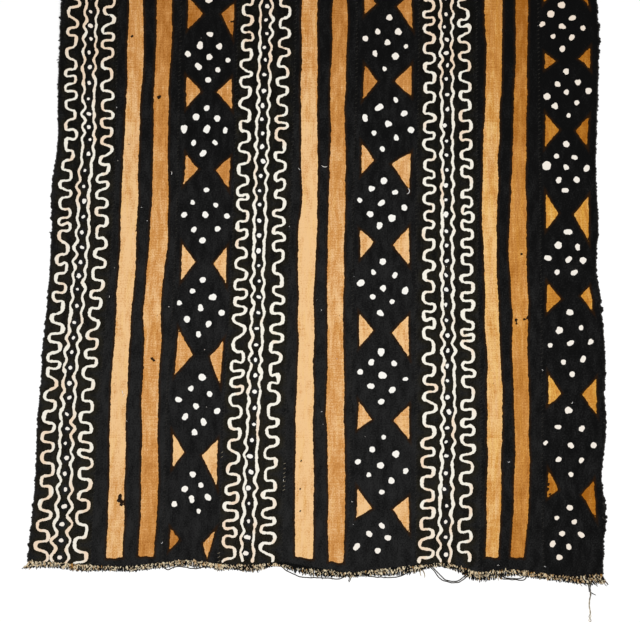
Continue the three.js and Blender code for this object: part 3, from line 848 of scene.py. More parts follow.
def add_piece(mesh, slot, nodes, *materials):
    """Object of a finished mesh, riding on the cloth's one body and standing for its solids."""
    for material in materials:
        mesh.materials.append(material)
    piece = bpy.data.objects.new(mesh.name, mesh)
    bpy.context.scene.collection.objects.link(piece)
    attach(piece, "root")
    if nodes:
        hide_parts(*nodes)
    return piece


def grid_faces(columns, rows):
    """Faces of a grid of points, and the row and column of each face's corners, all anticlockwise."""
    row = np.arange(rows)[:, None, None] + np.array([0, 0, 1, 1])
    column = np.arange(columns)[None, :, None] + np.array([0, 1, 1, 0])
    row, column = np.broadcast_arrays(row, column)
    return (row * (columns + 1) + column).reshape(-1, 4), row.reshape(-1, 4), column.reshape(-1, 4)


def rim_numbers(columns, rows):
    """Point numbers round a grid's rim, anticlockwise from its lower left corner and back to it."""
    numbers = np.arange((columns + 1) * (rows + 1)).reshape(rows + 1, columns + 1)
    return np.concatenate([numbers[0, :-1], numbers[:-1, -1], numbers[-1, :0:-1], numbers[::-1, 0]])


def bake_map(columns, rows, width, height, wall_places):
    """Bake map of a strip: its face folded into columns side by side, its back and its thin walls above.

    Returns the places, from 0 to 1, of the corners of the face's, the back's and the walls' faces in turn.
    """
    page = max(FOLDS * (width + GUTTER), height / FOLDS + BACK_SCALE * width + 5 * GUTTER)
    _, row, column = grid_faces(columns, rows)
    fold = row[:, :1] // (rows // FOLDS)
    face = np.stack([
        fold * (width + GUTTER) + column / columns * width,
        (row / rows - fold / FOLDS) * height,
    ], axis=-1)
    _, row, column = grid_faces(columns // COARSER, rows // COARSER)
    back_low = height / FOLDS + GUTTER
    back = np.stack([
        row * COARSER / rows * height * BACK_SCALE,
        back_low + column * COARSER / columns * width * BACK_SCALE,
    ], axis=-1)[:, ::-1]
    wall_low = back_low + BACK_SCALE * width + GUTTER
    walls = wall_places * (page - GUTTER, GUTTER) + (0, wall_low)
    return np.concatenate([places.reshape(-1, 2) for places in (face, back, walls)]) / page


def rim_walls(columns, rows, face_points):
    """Thin triangles between the rims of a strip's face and of its coarser back, whose points come after.

    Each length of the face's rim has one down to the back's, each length of the back's one up to the face's.
    Returns them with their corners' places: how far round the rim, from 0 to 1, and 1 on the face or 0 on the
    back.
    """
    rim = rim_numbers(columns, rows)
    back_rim = rim_numbers(columns // COARSER, rows // COARSER) + face_points
    step = np.arange(len(rim) - 1)
    under = step // COARSER
    coarse = np.arange(len(back_rim) - 1)
    walls = np.concatenate([
        np.stack([back_rim[under], rim[step + 1], rim[step]], axis=-1),
        np.stack([back_rim[coarse], back_rim[coarse + 1], rim[(coarse + 1) * COARSER]], axis=-1),
    ])
    round_rim = np.concatenate([
        np.stack([under * COARSER, step + 1, step], axis=-1),
        np.stack([coarse, coarse + 1, coarse + 1], axis=-1) * COARSER,
    ]) / len(step)
    return walls, np.stack([round_rim, walls < face_points], axis=-1)


def strip_mesh(name, strip, spacing, paint, size):
    """Closed thin sheet: a fine painted face, a coarser back one thickness below, walls round their rims.

    The face falls off a little to its two edges, and long low ridges run up it where the warp is thicker.
    """
    middle = hem_at(strip - 0.5)
    left, right = strip_edges(strip, np.linspace(middle, TOP_END, WIDTH_SAMPLES))
    width, height = np.mean(right - left), TOP_END - middle
    columns = COARSER * round(width / (COARSER * spacing[0] * MM))
    rows = COARSER * round(height / (COARSER * spacing[1] * MM))
    back_columns, back_rows = columns // COARSER, rows // COARSER
    rng = np.random.default_rng(WEAVE_SEED + strip)
    x, y, lift, in_from_edge = strip_surface(strip, columns, rows)
    slubs = sum(wander(rng, x, *SLUB_ACROSS) * wander(rng, y, *SLUB_ALONG) for _ in range(SLUBS))
    fall = EDGE_FALL * np.exp(-((in_from_edge / EDGE_FALL_WIDTH) ** 2))
    face = np.stack([x, y, lift + size.thickness + slubs - fall], axis=-1).reshape(-1, 3)
    back_x, back_y, back_lift, _ = strip_surface(strip, back_columns, back_rows)
    back = np.stack([back_x, back_y, back_lift], axis=-1).reshape(-1, 3)

    face_quads, _, _ = grid_faces(columns, rows)
    back_quads, _, _ = grid_faces(back_columns, back_rows)
    walls, wall_places = rim_walls(columns, rows, len(face))
    groups = [face_quads, len(face) + back_quads[:, ::-1], walls]
    counts = [len(group) for group in groups]
    mesh = new_mesh(name, np.concatenate([face, back]), groups)
    mesh.polygons.foreach_set("material_index", np.repeat([0, 1, 0], counts).astype(np.int32))
    mesh.polygons.foreach_set("use_smooth", np.repeat([True, True, False], counts))
    for attribute, values in painted_marks(strip, x, y, paint, size).items():
        unpainted = -FAR if attribute in ("cream", "ochre") else 0
        add_attribute(mesh, attribute, np.concatenate([values.ravel(), np.full(len(back), unpainted)]))
    across = np.concatenate([
        np.tile(np.linspace(0, width, columns + 1), rows + 1),
        np.tile(np.linspace(0, width, back_columns + 1), back_rows + 1),
    ])
    along = np.concatenate([y.ravel(), back_y.ravel()]) - TOP_END
    corners = np.concatenate([group.ravel() for group in groups])
    add_map(mesh, "weave", np.stack([across, along], axis=-1)[corners])
    add_map(mesh, "OFBake", bake_map(columns, rows, width, height, wall_places))
    return mesh, width, height


def tubes(paths, radii, sides):
    """Closed yarns: rings of points about each path, joined ring to ring, with a flat face at both ends.

    A ring's points lie at equal angles in the plane across the path. Returns points and groups of faces.
    """
    run = np.gradient(paths, axis=1)
    run /= np.linalg.norm(run, axis=-1, keepdims=True)
    flank = np.cross(run, UP)
    flank /= np.linalg.norm(flank, axis=-1, keepdims=True)
    crest = np.cross(flank, run)
    angle = np.arange(sides)[:, None] * 2 * np.pi / sides
    ring = flank[:, :, None] * np.cos(angle) + crest[:, :, None] * np.sin(angle)
    points = paths[:, :, None] + radii[:, :, None, None] * ring
    number = np.arange(points[..., 0].size).reshape(points.shape[:3])
    beside = np.roll(number, -1, axis=2)
    walls = np.stack([number[:, :-1], number[:, 1:], beside[:, 1:], beside[:, :-1]], axis=-1).reshape(-1, 4)
    return points.reshape(-1, 3), [walls, number[:, 0], number[:, -1, ::-1]]


def yarn_mesh(name, bundles, sides):
    """One mesh of several bundles of yarns: paths, radii, and how pale and how stained each point is."""
    points, groups, pale, stain = [], [], [], []
    for paths, radii, paleness, staining in bundles:
        bundle_points, bundle_groups = tubes(paths, radii, sides)
        first = sum(len(part) for part in points)
        points.append(bundle_points)
        groups.extend(group + first for group in bundle_groups)
        pale.append(np.repeat(np.broadcast_to(paleness, radii.shape).ravel(), sides))
        stain.append(np.repeat(np.broadcast_to(staining, radii.shape).ravel(), sides))
    mesh = new_mesh(name, np.concatenate(points), groups)
    mesh.polygons.foreach_set("use_smooth", np.ones(len(mesh.polygons), bool))
    add_attribute(mesh, "pale", np.concatenate(pale))
    add_attribute(mesh, "stain", np.concatenate(stain))
    return mesh


def fray_at(column, x):
    """One column of the frayed end's chart at x."""
    return smooth_through(FRAY.x * MM, column, x)


def lying_height(y, cut, thickness):
    """Height under a yarn: the cloth's thickness above the cut end, falling to the floor just below it."""
    return thickness * smooth_step(y - cut, FALL_ENDS, FALL_STARTS)


def frayed_ends(rng, strip, size):
    """Loose warp ends of a strip, side by side: each leaves the weave, leans over and falls to the floor.

    They cling together in small clumps. Each short length of a clump is either pale, where the mud has worn
    off, or dark, and more of it is dark towards the tips.
    """
    jitter, root_depth, longer, length_spread = 0.45, 3 * MM, 0.1, 0.13
    clump_lean, end_lean, lean_power, curl_size = 0.65 * MM, 0.8 * MM, 1.5, 0.6 * MM
    width_spread, taper, loft, stain_spread = 0.16, 0.12, 0.6 * MM, 0.3
    root_share, tip_loss, dark_fade, least_pale = 0.95, 0.7, 5 * MM, 0.75
    left, right = strip_edges(strip, hem_at(strip - 0.5))
    count = int((right - left) / size.frayed_pitch)
    x = left + (right - left) * (np.arange(count) + 0.5 + rng.uniform(-jitter, jitter, count)) / count
    clump = ((x - left + size.clump) / size.clump).astype(int)
    clumps = clump.max() + 1
    cut = cut_at(strip, x)[:, None]
    reach = (MM * fray_at(FRAY.reach, x) * np.exp(rng.normal(longer, length_spread, count)))[:, None]
    t = np.linspace(0, 1, YARN_POINTS)
    start = cut + rng.uniform(0, root_depth, (count, 1))
    y = start + (cut - reach - start) * t
    lean = MM * fray_at(FRAY.lean, x) + rng.normal(0, clump_lean, clumps)[clump]
    lean = lean + rng.normal(0, end_lean, count)
    curl = rng.normal(0, curl_size, (count, 1)) * np.sin(np.pi * (t + rng.uniform(0, 1, (count, 1)))) * t
    path_x = x[:, None] + lean[:, None] * reach / LEAN_LENGTH * t**lean_power + curl
    radius = size.frayed_yarn / 2 * np.exp(rng.normal(0, width_spread, (count, 1))) * (1 - taper * t**2)
    ground = lying_height(y, cut, size.thickness)
    z = ground + radius + rng.uniform(0, loft, (count, 1)) * np.sin(np.pi * t)
    stretch = ((start - y) / size.clump + rng.uniform(0, 1, clumps)[clump][:, None]).astype(int)
    mud_lighter = rng.uniform(0, 1, (clumps, stretch.max() + 1))[clump[:, None], stretch]
    root = smooth_through(*DARK_ROOTS, x)[:, None]
    share = fray_at(FRAY.pale, x)[:, None] * (root_share - tip_loss * t)
    share = share * smooth_step(cut - y, root - dark_fade, root)
    pale = np.where(mud_lighter < share, least_pale + (1 - least_pale) * mud_lighter / np.maximum(share, 0.01), 0.0)
    stain = np.clip(fray_at(FRAY.stain, x) + rng.normal(0, stain_spread, clumps)[clump], 0, 1)[:, None]
    return np.stack([path_x, y, z], axis=-1), radius, pale, stain


def crimped_bits(rng, strip, size):
    """Crimped bits of unravelled yarn over a strip's frayed end: short bows, most of them downwards."""
    shortest, longest, heading_spread, bow_size = 3 * MM, 6.5 * MM, 0.65, 0.8 * MM
    thinness, width_spread, taper = 0.4, 0.2, 0.4
    lifted, lift_within, loft = 0.9 * MM, 2 * MM, 0.7 * MM
    least_pale, cleaner, stain_spread = 0.8, -0.1, 0.4
    left, right = strip_edges(strip, hem_at(strip - 0.5))
    count = int((right - left) / size.crimp_pitch)
    x = rng.uniform(left, right, (count, 1))
    cut = cut_at(strip, x)
    root = smooth_through(*DARK_ROOTS, x)
    out = root + rng.uniform(-0.2, 0.8, (count, 1)) * (MM * fray_at(FRAY.reach, x) - root)
    t = np.linspace(0, 1, BIT_POINTS)
    run = rng.uniform(shortest, longest, (count, 1)) * (t - 0.5)
    lean = MM * fray_at(FRAY.lean, x) * np.maximum(out, 0) / LEAN_LENGTH
    heading = rng.normal(-np.pi / 2, heading_spread, (count, 1)) + np.arctan2(lean, LEAN_LENGTH)
    bow = rng.normal(0, bow_size, (count, 1)) * np.sin(np.pi * t)
    path_x = x + lean + run * np.cos(heading) - bow * np.sin(heading)
    y = cut - out + run * np.sin(heading) + bow * np.cos(heading)
    radius = thinness * size.frayed_yarn * np.exp(rng.normal(0, width_spread, (count, 1)))
    radius = radius * (1 - taper * (2 * t - 1) ** 2)
    over = lifted * smooth_step(out, 0, lift_within) + rng.uniform(0, loft, (count, 1))
    z = lying_height(y, cut, size.thickness) + radius + over
    bright = rng.uniform(0, 1, (count, 1)) < fray_at(FRAY.pale, x)
    pale = np.where(bright, rng.uniform(least_pale, 1.0, (count, 1)), 0.0)
    stain = np.clip(rng.normal(cleaner, stain_spread, (count, 1)) + fray_at(FRAY.stain, x), 0, 1)
    return np.stack([path_x, y, z], axis=-1), radius, pale, stain


def pulled_threads(rng, strip, size):
    """Pulled threads of a strip: each is a smooth, slightly trembling line through its own points."""
    lines = []
    for points in PULLED_THREADS[strip]:
        chart_x, chart_y = MM * np.array(points, float).T
        x = np.linspace(chart_x[0], chart_x[-1], THREAD_POINTS)
        lines.append((x, smooth_through(chart_x, chart_y, x) + wander(rng, x, *THREAD_TREMBLE)))
    x, y = np.array(lines).transpose(1, 0, 2)
    radius = np.broadcast_to(size.pulled_thread / 2, x.shape)
    z = lying_height(y, cut_at(strip, x), size.thickness) + radius
    return np.stack([x, y, z], axis=-1), radius, THREAD_PALE, DARK_STAIN


def loose_yarn(size):
    """The long loose yarn: two plies wound round a swaying line, coming apart towards the end."""
    root_depth, winding, taper, faster = 2.5 * MM, 17 * MM, 0.35, 2.3
    closeness, parting, parted_at, parted_over = 0.9, 1.6 * MM, 0.8, 0.16
    plies = np.array([[0.6], [0.5]])
    darkest, worn_by, tail_stain = np.array([[0.02], [0.1]]), np.array([[0.28], [0.55]]), 0.1
    t = np.linspace(0, 1, TAIL_POINTS)
    cut = cut_at(TAIL_STRIP, np.array(TAIL_X))
    y = cut + root_depth + (TAIL_END - cut - root_depth) * t
    out = smooth_step(cut - y, 0, LEAN_LENGTH)
    lean = MM * fray_at(FRAY.lean, TAIL_X)
    sway = np.sin((cut - y) / TAIL_WAVE) + np.sin(faster * (cut - y) / TAIL_WAVE + 1)
    line_x = TAIL_X + out * (lean + TAIL_SWAY * sway)
    radius = size.frayed_yarn * plies * (1 - taper * t)
    apart = radius * closeness + parting * ridge((t - parted_at) / parted_over)
    wind = 2 * np.pi * (cut - y) / winding + np.array([[0], [np.pi]])
    x = line_x + apart * np.cos(wind)
    z = lying_height(y, cut, size.thickness) + radius * (2 + np.sin(wind))
    paths = np.stack([x, np.broadcast_to(y, x.shape), z], axis=-1)
    return paths, radius, darkest + worn_by * smooth_step(t, 0.2, 0.6), tail_stain


def stray_ends(rows, size):
    """Short stray ends, each a small arc on the floor, with its start, run, bow and paleness charted."""
    taper, staining = 0.5, 0.3
    chart = np.array(rows, float).T[:, :, None]
    start_x, start_y, run_x, run_y, bow = MM * chart[:5]
    t = np.linspace(0, 1, YARN_POINTS)
    x = start_x + run_x * t + bow * np.sin(np.pi * t)
    y = start_y + run_y * t
    radius = np.broadcast_to(size.stray_end / 2 * (1 - taper * t), x.shape)
    return np.stack([x, y, radius], axis=-1), radius, chart[5], staining


def seam_stitches(rng, size):
    """Sewing stitches: each is a short slanting arch over a seam, sunk into the two strips at its ends."""
    above_hem, below_end, uneven = 7 * MM, 4 * MM, 0.6 * MM
    half_width, width_spread, slant, slant_spread = 2.3 * MM, 0.15, 2.6 * MM, 0.5 * MM
    sunk, arched = 0.6 * MM, 0.95 * MM
    t = np.linspace(0, 1, STITCH_POINTS)
    bundles = []
    for seam in range(1, STRIPS):
        hem = hem_at(seam)
        y = np.arange(hem + above_hem, TOP_END - below_end, size.stitch_pitch)
        y = y + rng.normal(0, uneven, len(y))
        x = smooth_through(*EDGE_LINES[seam], y)
        reach = half_width * np.exp(rng.normal(0, width_spread, (len(y), 1)))
        path_x = x[:, None] + reach * (2 * t - 1)
        path_y = y[:, None] + rng.normal(slant, slant_spread, (len(y), 1)) * (t - 0.5)
        arch = size.thickness - sunk + arched * np.sin(np.pi * t)
        z = ripple_lift(path_x, path_y, hem) + arch
        radius = np.full(path_x.shape, size.stitch_thread / 2)
        pale = np.full(path_x.shape, STITCH_PALE)
        for worn_seam, low, high in WORN_STITCHES:
            if worn_seam == seam:
                pale[(y > low * MM) & (y < high * MM)] = WORN_PALE
        bundles.append((np.stack([path_x, path_y, z], axis=-1), radius, pale, 0.0))
    return bundles


def selvedge_loops(rng, line, outwards, size):
    """Weft loops along an outer selvedge: half waves that stand out from the edge, longer in a few tufts."""
    above_hem, below_end, uneven = 3 * MM, 2 * MM, 0.8 * MM
    rooted, least_out, more_out, tuft_out = 1.6 * MM, 1.2 * MM, 1.2 * MM, 1.6 * MM
    roundness, width_spread, raised, arched = 0.8, 0.15, 0.1 * MM, 0.2 * MM
    hem = hem_at(line)
    y = np.arange(hem + above_hem, TOP_END - below_end, size.selvedge_pitch)
    y = y + rng.normal(0, uneven, len(y))
    x = smooth_through(*EDGE_LINES[line], y) + outwards * selvedge_bumps(line, y)
    tufted = smooth_step(wander(rng, y, *TUFTING), 0.4, 1.6)
    out = (more_out + tuft_out * tufted) * rng.uniform(0, 1, len(y)) ** 2
    t = np.linspace(0, 1, LOOP_POINTS)
    wave = np.sin(np.pi * t) ** roundness
    path_x = x[:, None] + outwards * (-rooted + (least_out + out[:, None]) * wave)
    path_y = y[:, None] + size.selvedge_pitch * rng.uniform(0.8, 1.2, (len(y), 1)) * (t - 0.5)
    path_y = path_y + rng.normal(0, uneven, (len(y), 1)) * wave
    radius = size.selvedge_yarn / 2 * np.exp(rng.normal(0, width_spread, (len(y), 1))) * np.ones(len(t))
    z = ripple_lift(path_x, path_y, hem) + radius + raised + arched * wave
    return np.stack([path_x, path_y, z], axis=-1), radius, LOOP_PALE, DARK_STAIN


def lint_fibres(rng, size):
    """Lint on the face: short bent fibres, scattered, with the few that show most at their own places."""
    bending, thinnest, thickest, thicker, taper = 1.6, 0.2 * MM, 0.35 * MM, 0.03, 0.6
    raised, staining = 0.1 * MM, 0.2
    scattered = rng.uniform(LINT_LOW, LINT_HIGH, (SCATTERED_LINT, 3))
    middle_x, middle_y, run = np.concatenate([LINT_PLACES, scattered]).T[:, :, None]
    count = len(run)
    t = np.linspace(0, 1, LOOP_POINTS)
    heading = rng.uniform(0, np.pi, (count, 1))
    bend = rng.normal(0, bending, (count, 1)) * (t - 0.5)
    x = middle_x + run * (t - 0.5) * np.cos(heading + bend)
    y = middle_y + run * (t - 0.5) * np.sin(heading + bend)
    radius = rng.uniform(thinnest, thickest, (count, 1)) + thicker * run
    radius = radius * (1 - (2 * t - 1) ** 4 * taper)
    z = ripple_lift(x, y, HEM.mean()) + size.thickness + raised + radius
    return np.stack([x, y, z], axis=-1), radius, 1.0, staining


def add_node(tree, kind, sockets, **settings):
    """Shader node with its settings, and each named socket set to a value or linked to an output."""
    node = tree.nodes.new(kind)
    for name, value in settings.items():
        setattr(node, name, value)
    for name, value in sockets.items():
        if isinstance(value, bpy.types.NodeSocket):
            tree.links.new(value, node.inputs[name])
        else:
            node.inputs[name].default_value = value
    return node


def calc(tree, operation, *values):
    """One step of arithmetic on numbers."""
    return add_node(tree, "ShaderNodeMath", dict(enumerate(values)), operation=operation).outputs[0]


def grain(tree, place, row):
    """Smooth noise from 0 to 1, with so many grains a metre along each axis, broken up so finely."""
    scaled = add_node(tree, "ShaderNodeMapping", {"Vector": place, "Scale": row[:3]}).outputs[0]
    sockets = {"Vector": scaled, "Scale": 1.0, "Detail": row[3]}
    return add_node(tree, "ShaderNodeTexNoise", sockets).outputs["Fac"]


def varied(tree, value, noise, amount):
    """A value made uneven by so much of a noise's difference from its mean, one half."""
    return calc(tree, "MULTIPLY_ADD", calc(tree, "SUBTRACT", noise, 0.5), amount, value)


def soft_between(tree, value, low, high):
    """Soft step from 0 at low to 1 at high."""
    sockets = {"Value": value, "From Min": low, "From Max": high}
    return add_node(tree, "ShaderNodeMapRange", sockets, interpolation_type="SMOOTHSTEP").outputs[0]


def blend(tree, factor, first, second, blend_type="MIX"):
    """Mix of two colours."""
    sockets = {0: factor, 6: first, 7: second}
    settings = {"data_type": "RGBA", "blend_type": blend_type, "clamp_factor": True}
    return add_node(tree, "ShaderNodeMix", sockets, **settings).outputs[2]


def attribute(tree, name):
    """A number stored on the mesh."""
    return add_node(tree, "ShaderNodeAttribute", {}, attribute_name=name).outputs["Fac"]


def rgba(value):
    """A colour property with full opacity."""
    return (*value, 1.0)


def cotton_material(name, roughness):
    """Material with a rough, barely shining cotton shader. Returns it with its node tree and shader."""
    material = bpy.data.materials.new(name)
    material.use_nodes = True
    tree = material.node_tree
    shader = tree.nodes["Principled BSDF"]
    shader.inputs["Roughness"].default_value = roughness
    shader.inputs["Specular IOR Level"].default_value = SHINE
    shader.inputs["Sheen Weight"].default_value = FUZZ
    shader.inputs["Sheen Roughness"].default_value = FUZZ_ROUGHNESS
    return material, tree, shader


def weave_height(tree, place, size):
    """Height of a plain weave from 0 to 1: at each crossing the higher of the two yarns' round backs.

    With s the product of the two yarns' sines, the warp's back is its sine's size times half of one plus s,
    and the weft's is its sine's size times half of one less s, so that they pass over each other by turns.
    """
    uneven = calc(tree, "MULTIPLY", grain(tree, place, WEAVE_GRAIN), UNEVEN_WEAVE)

    def yarns(along, pitch):
        return calc(tree, "SINE", calc(tree, "ADD", calc(tree, "MULTIPLY", along, np.pi / pitch), uneven))

    parts = add_node(tree, "ShaderNodeSeparateXYZ", {0: place}).outputs
    warp, weft = yarns(parts[0], size.warp_pitch), yarns(parts[1], size.weft_pitch)
    over = calc(tree, "MULTIPLY_ADD", calc(tree, "MULTIPLY", warp, weft), 0.5, 0.5)
    under = calc(tree, "SUBTRACT", 1.0, over)
    warp_back = calc(tree, "MULTIPLY", calc(tree, "ABSOLUTE", warp), over)
    weft_back = calc(tree, "MULTIPLY", calc(tree, "ABSOLUTE", weft), under)
    return calc(tree, "MAXIMUM", warp_back, weft_back)


def bump(tree, shader, height, distance, strength):
    """Raises a height map on a shader."""
    sockets = {"Height": height, "Distance": distance, "Strength": strength}
    tree.links.new(add_node(tree, "ShaderNodeBump", sockets).outputs[0], shader.inputs["Normal"])


def painted_cotton(size, tint):
    """The painted face: mud ground, ochre and bleached cream, with edges that stray along the yarns.

    A mark shows where its stored depth, plus a small noise, is above zero. The ochre varies in streaks up
    the warp, in blotches and in dark nubs. The mud is thinner in blotches, warm beside the cream and brown
    beside the ochre. The gaps of the weave are painted darker as shade, and the yarns' backs painted lighter.
    """
    material, tree, shader = cotton_material("painted_cotton", FACE_ROUGHNESS)
    place = add_node(tree, "ShaderNodeUVMap", {}, uv_map="weave").outputs[0]
    noise = {name: grain(tree, place, row) for name, row in FACE_GRAINS.items()}
    strays = varied(tree, 0.0, noise["ragged"], size.ragged)
    strays = varied(tree, strays, noise["unsteady"], size.unsteady)
    cream_edge = calc(tree, "ADD", attribute(tree, "cream"), strays)
    cream_shows = soft_between(tree, cream_edge, -size.soft_edge, size.soft_edge)
    ochre_edge = calc(tree, "ADD", attribute(tree, "ochre"), strays)
    ochre_shows = soft_between(tree, ochre_edge, -size.soft_edge, size.soft_edge)

    mud_lightness = attribute(tree, "mud_lighter")
    for name, amount in MUD_GRAINS.items():
        mud_lightness = calc(tree, "MULTIPLY_ADD", noise[name], amount, mud_lightness)
    mud = blend(tree, soft_between(tree, mud_lightness, *WORN), rgba(tint.mud_black), rgba(tint.mud_worn))
    lined = calc(tree, "SUBTRACT", 1.0, attribute(tree, "chalk"))
    near_cream = calc(tree, "MULTIPLY", soft_between(tree, cream_edge, -size.warm_reach, 0.0), lined)
    mud = blend(tree, near_cream, mud, rgba(tint.mud_warm), "MULTIPLY")
    near_ochre = soft_between(tree, ochre_edge, -size.brown_reach, 0.0)
    mud = blend(tree, near_ochre, mud, rgba(tint.mud_brown))

    dye = attribute(tree, "dye")
    for name, amount in OCHRE_GRAINS.items():
        dye = varied(tree, dye, noise[name], amount)
    ramp = add_node(tree, "ShaderNodeValToRGB", {"Fac": dye})
    ramp.color_ramp.elements.new(RICH_OCHRE_AT)
    for stop, dyed in zip(ramp.color_ramp.elements, (tint.pale_ochre, tint.rich_ochre, tint.deep_ochre)):
        stop.color = rgba(dyed)
    golden = varied(tree, attribute(tree, "golden"), noise["hue"], HUE_GOLDEN)
    ochre = blend(tree, golden, ramp.outputs[0], rgba(tint.gilding), "MULTIPLY")
    patches = soft_between(tree, noise["patches"], *PATCHED)
    nubs = soft_between(tree, noise["nubs"], *NUBBED)
    nubs = calc(tree, "MULTIPLY", nubs, calc(tree, "MULTIPLY_ADD", patches, MANY_NUBS, FEW_NUBS))
    ochre = blend(tree, nubs, ochre, rgba(tint.mud_brown))

    warm = attribute(tree, "warm")
    stained = soft_between(tree, calc(tree, "ADD", noise["stains"], warm), *STAINED)
    lines = blend(tree, stained, rgba(tint.cream), rgba(tint.peach))
    dots = blend(tree, calc(tree, "MULTIPLY", warm, DOT_WARMTH), rgba(tint.chalk), rgba(tint.peach))
    cream = blend(tree, attribute(tree, "chalk"), lines, dots)

    base = blend(tree, ochre_shows, mud, ochre)
    base = blend(tree, cream_shows, base, cream)
    # Painted shade and light: the weave's gaps darken the colour and its yarns' backs lighten it
    height = weave_height(tree, place, size)
    shade = calc(tree, "MULTIPLY_ADD", height, YARN_PAINTED_LIGHT, GAP_PAINTED_SHADE)
    tree.links.new(blend(tree, 1.0, base, shade, "MULTIPLY"), shader.inputs["Base Color"])
    bump(tree, shader, height, size.weave_relief, WEAVE_STRENGTH)
    return material


def cotton_back(size, tint):
    """The unpainted back: cotton stained unevenly by the mud that came through, with the same weave."""
    material, tree, shader = cotton_material("cotton_back", BACK_ROUGHNESS)
    place = add_node(tree, "ShaderNodeUVMap", {}, uv_map="weave").outputs[0]
    stain = soft_between(tree, grain(tree, place, BACK_GRAIN), *BACK_STAINED)
    base = blend(tree, stain, rgba(tint.back), rgba(tint.mud_worn))
    tree.links.new(base, shader.inputs["Base Color"])
    bump(tree, shader, weave_height(tree, place, size), size.weave_relief, WEAVE_STRENGTH)
    return material


def yarn_material(name, dark, pale, stained):
    """Loose yarn: stored paleness and stain mix mud, clean and stained cotton, on a fibrous bump."""
    material, tree, shader = cotton_material(name, YARN_ROUGHNESS)
    place = add_node(tree, "ShaderNodeTexCoord", {}).outputs["Object"]
    stain = varied(tree, attribute(tree, "stain"), grain(tree, place, YARN_PATCHES), PATCH_STAIN)
    cotton = blend(tree, stain, rgba(pale), rgba(stained))
    base = blend(tree, attribute(tree, "pale"), rgba(dark), cotton)
    tree.links.new(base, shader.inputs["Base Color"])
    bump(tree, shader, grain(tree, place, YARN_FIBRES), FIBRE_RELIEF, FIBRE_STRENGTH)
    return material


def floor_material(tint):
    """Plain pale floor with a barely uneven, matt finish."""
    material, tree, shader = cotton_material("studio_floor", YARN_ROUGHNESS)
    place = add_node(tree, "ShaderNodeTexCoord", {}).outputs["Object"]
    darker = [value * FLOOR_SHADE for value in tint]
    shade = blend(tree, grain(tree, place, FLOOR_GRAIN), rgba(tint), rgba(darker))
    tree.links.new(shade, shader.inputs["Base Color"])
    return material


def add_strips(context, kind, spacing, paint, strips):
    """Makes the painted strips of one kind and stands each for its solid."""
    size, tint = context.scene.cloth_sizes, context.scene.cloth_colours
    face = bpy.data.materials.get("painted_cotton") or painted_cotton(size, tint)
    back = bpy.data.materials.get("cotton_back") or cotton_back(size, tint)
    for strip in strips:
        mesh, width, height = strip_mesh(f"{kind}_strip_{strip}", strip, spacing, paint, size)
        piece = add_piece(mesh, "mud_black_cotton", [f"strip_{strip}"], face, back)


class MUDCLOTH_OT_stage(bpy.types.Operator):
    """Adds the pale floor, the soft light and the camera straight above the cloth"""

    bl_idname = "mudcloth.stage"
    bl_label = "Set the stage"

    def execute(self, context):
        scene, studio = context.scene, context.scene.cloth_studio
        corners = FLOOR_HALF * np.array([(-1, -1, 0), (1, -1, 0), (1, 1, 0), (-1, 1, 0)]) - FLOOR_DROP * UP
        mesh = new_mesh("floor", corners, [np.array([[0, 1, 2, 3]])])
        mesh.materials.append(floor_material(studio.floor))
        floor = bpy.data.objects.new("floor", mesh)
        scene.collection.objects.link(floor)

        middle_x = (PICTURE_WIDTH / 2 - ORIGIN_PIXEL_X) * PIXEL
        middle_y = (ORIGIN_PIXEL_Y - PICTURE_HEIGHT / 2) * PIXEL
        lens = bpy.data.cameras.new("camera")
        lens.sensor_width = SENSOR_WIDTH
        lens.lens = lens.sensor_width * studio.camera_height / (PICTURE_WIDTH * PIXEL)
        camera = bpy.data.objects.new("camera", lens)
        camera.location = (middle_x, middle_y, studio.camera_height)
        scene.collection.objects.link(camera)
        scene.camera = camera

        lamp = bpy.data.lights.new("soft_key", "AREA")
        lamp.shape = "DISK"
        lamp.size = studio.key_size
        lamp.energy = studio.key_power
        key = bpy.data.objects.new("soft_key", lamp)
        key.location = (middle_x, middle_y - KEY_SHIFT, studio.key_height)
        key.visible_camera = False
        scene.collection.objects.link(key)

        world = bpy.data.worlds.new("studio")
        world.use_nodes = True
        sky = world.node_tree.nodes["Background"].inputs
        sky["Color"].default_value = (1, 1, 1, 1)
        sky["Strength"].default_value = studio.fill
        scene.world = world
        scene.view_settings.view_transform = "Standard"
        return {"FINISHED"}


class MUDCLOTH_OT_frayed_ends(bpy.types.Operator):
    """Adds each strip's frayed lower end, with its pulled threads and the long loose yarn"""

    bl_idname = "mudcloth.frayed_ends"
    bl_label = "Fray the lower end"

    def execute(self, context):
        size, tint = context.scene.cloth_sizes, context.scene.cloth_colours
        material = yarn_material("frayed_yarn", tint.mud_black, tint.frayed_cream, tint.frayed_tan)
        for strip in range(1, STRIPS + 1):
            rng = np.random.default_rng(FRAY_SEED + strip)
            bundles = [frayed_ends(rng, strip, size), crimped_bits(rng, strip, size)]
            if strip in PULLED_THREADS:
                bundles.append(pulled_threads(rng, strip, size))
            if strip in LOOSE_BITS:
                bundles.append(stray_ends(LOOSE_BITS[strip], size))
            if strip == TAIL_STRIP:
                bundles.append(loose_yarn(size))
            mesh = yarn_mesh(f"frayed_end_{strip}", bundles, YARN_SIDES)
            add_piece(mesh, "frayed_cotton", [f"fringe_{strip}"], material)
        return {"FINISHED"}


class MUDCLOTH_OT_meander_strips(bpy.types.Operator):
    """Adds the three strips with meanders, wavy lines and a row of small dots"""

    bl_idname = "mudcloth.meander_strips"
    bl_label = "Meander strips"

    def execute(self, context):
        add_strips(context, "meander", MEANDER_SPACING, meander_paint, MEANDER_PLACES)
        return {"FINISHED"}


class MUDCLOTH_OT_barred_strips(bpy.types.Operator):
    """Adds the three strips with two ochre bars"""

    bl_idname = "mudcloth.barred_strips"
    bl_label = "Barred strips"

    def execute(self, context):
        add_strips(context, "barred", BAR_SPACING, bar_paint, BARS)
        return {"FINISHED"}


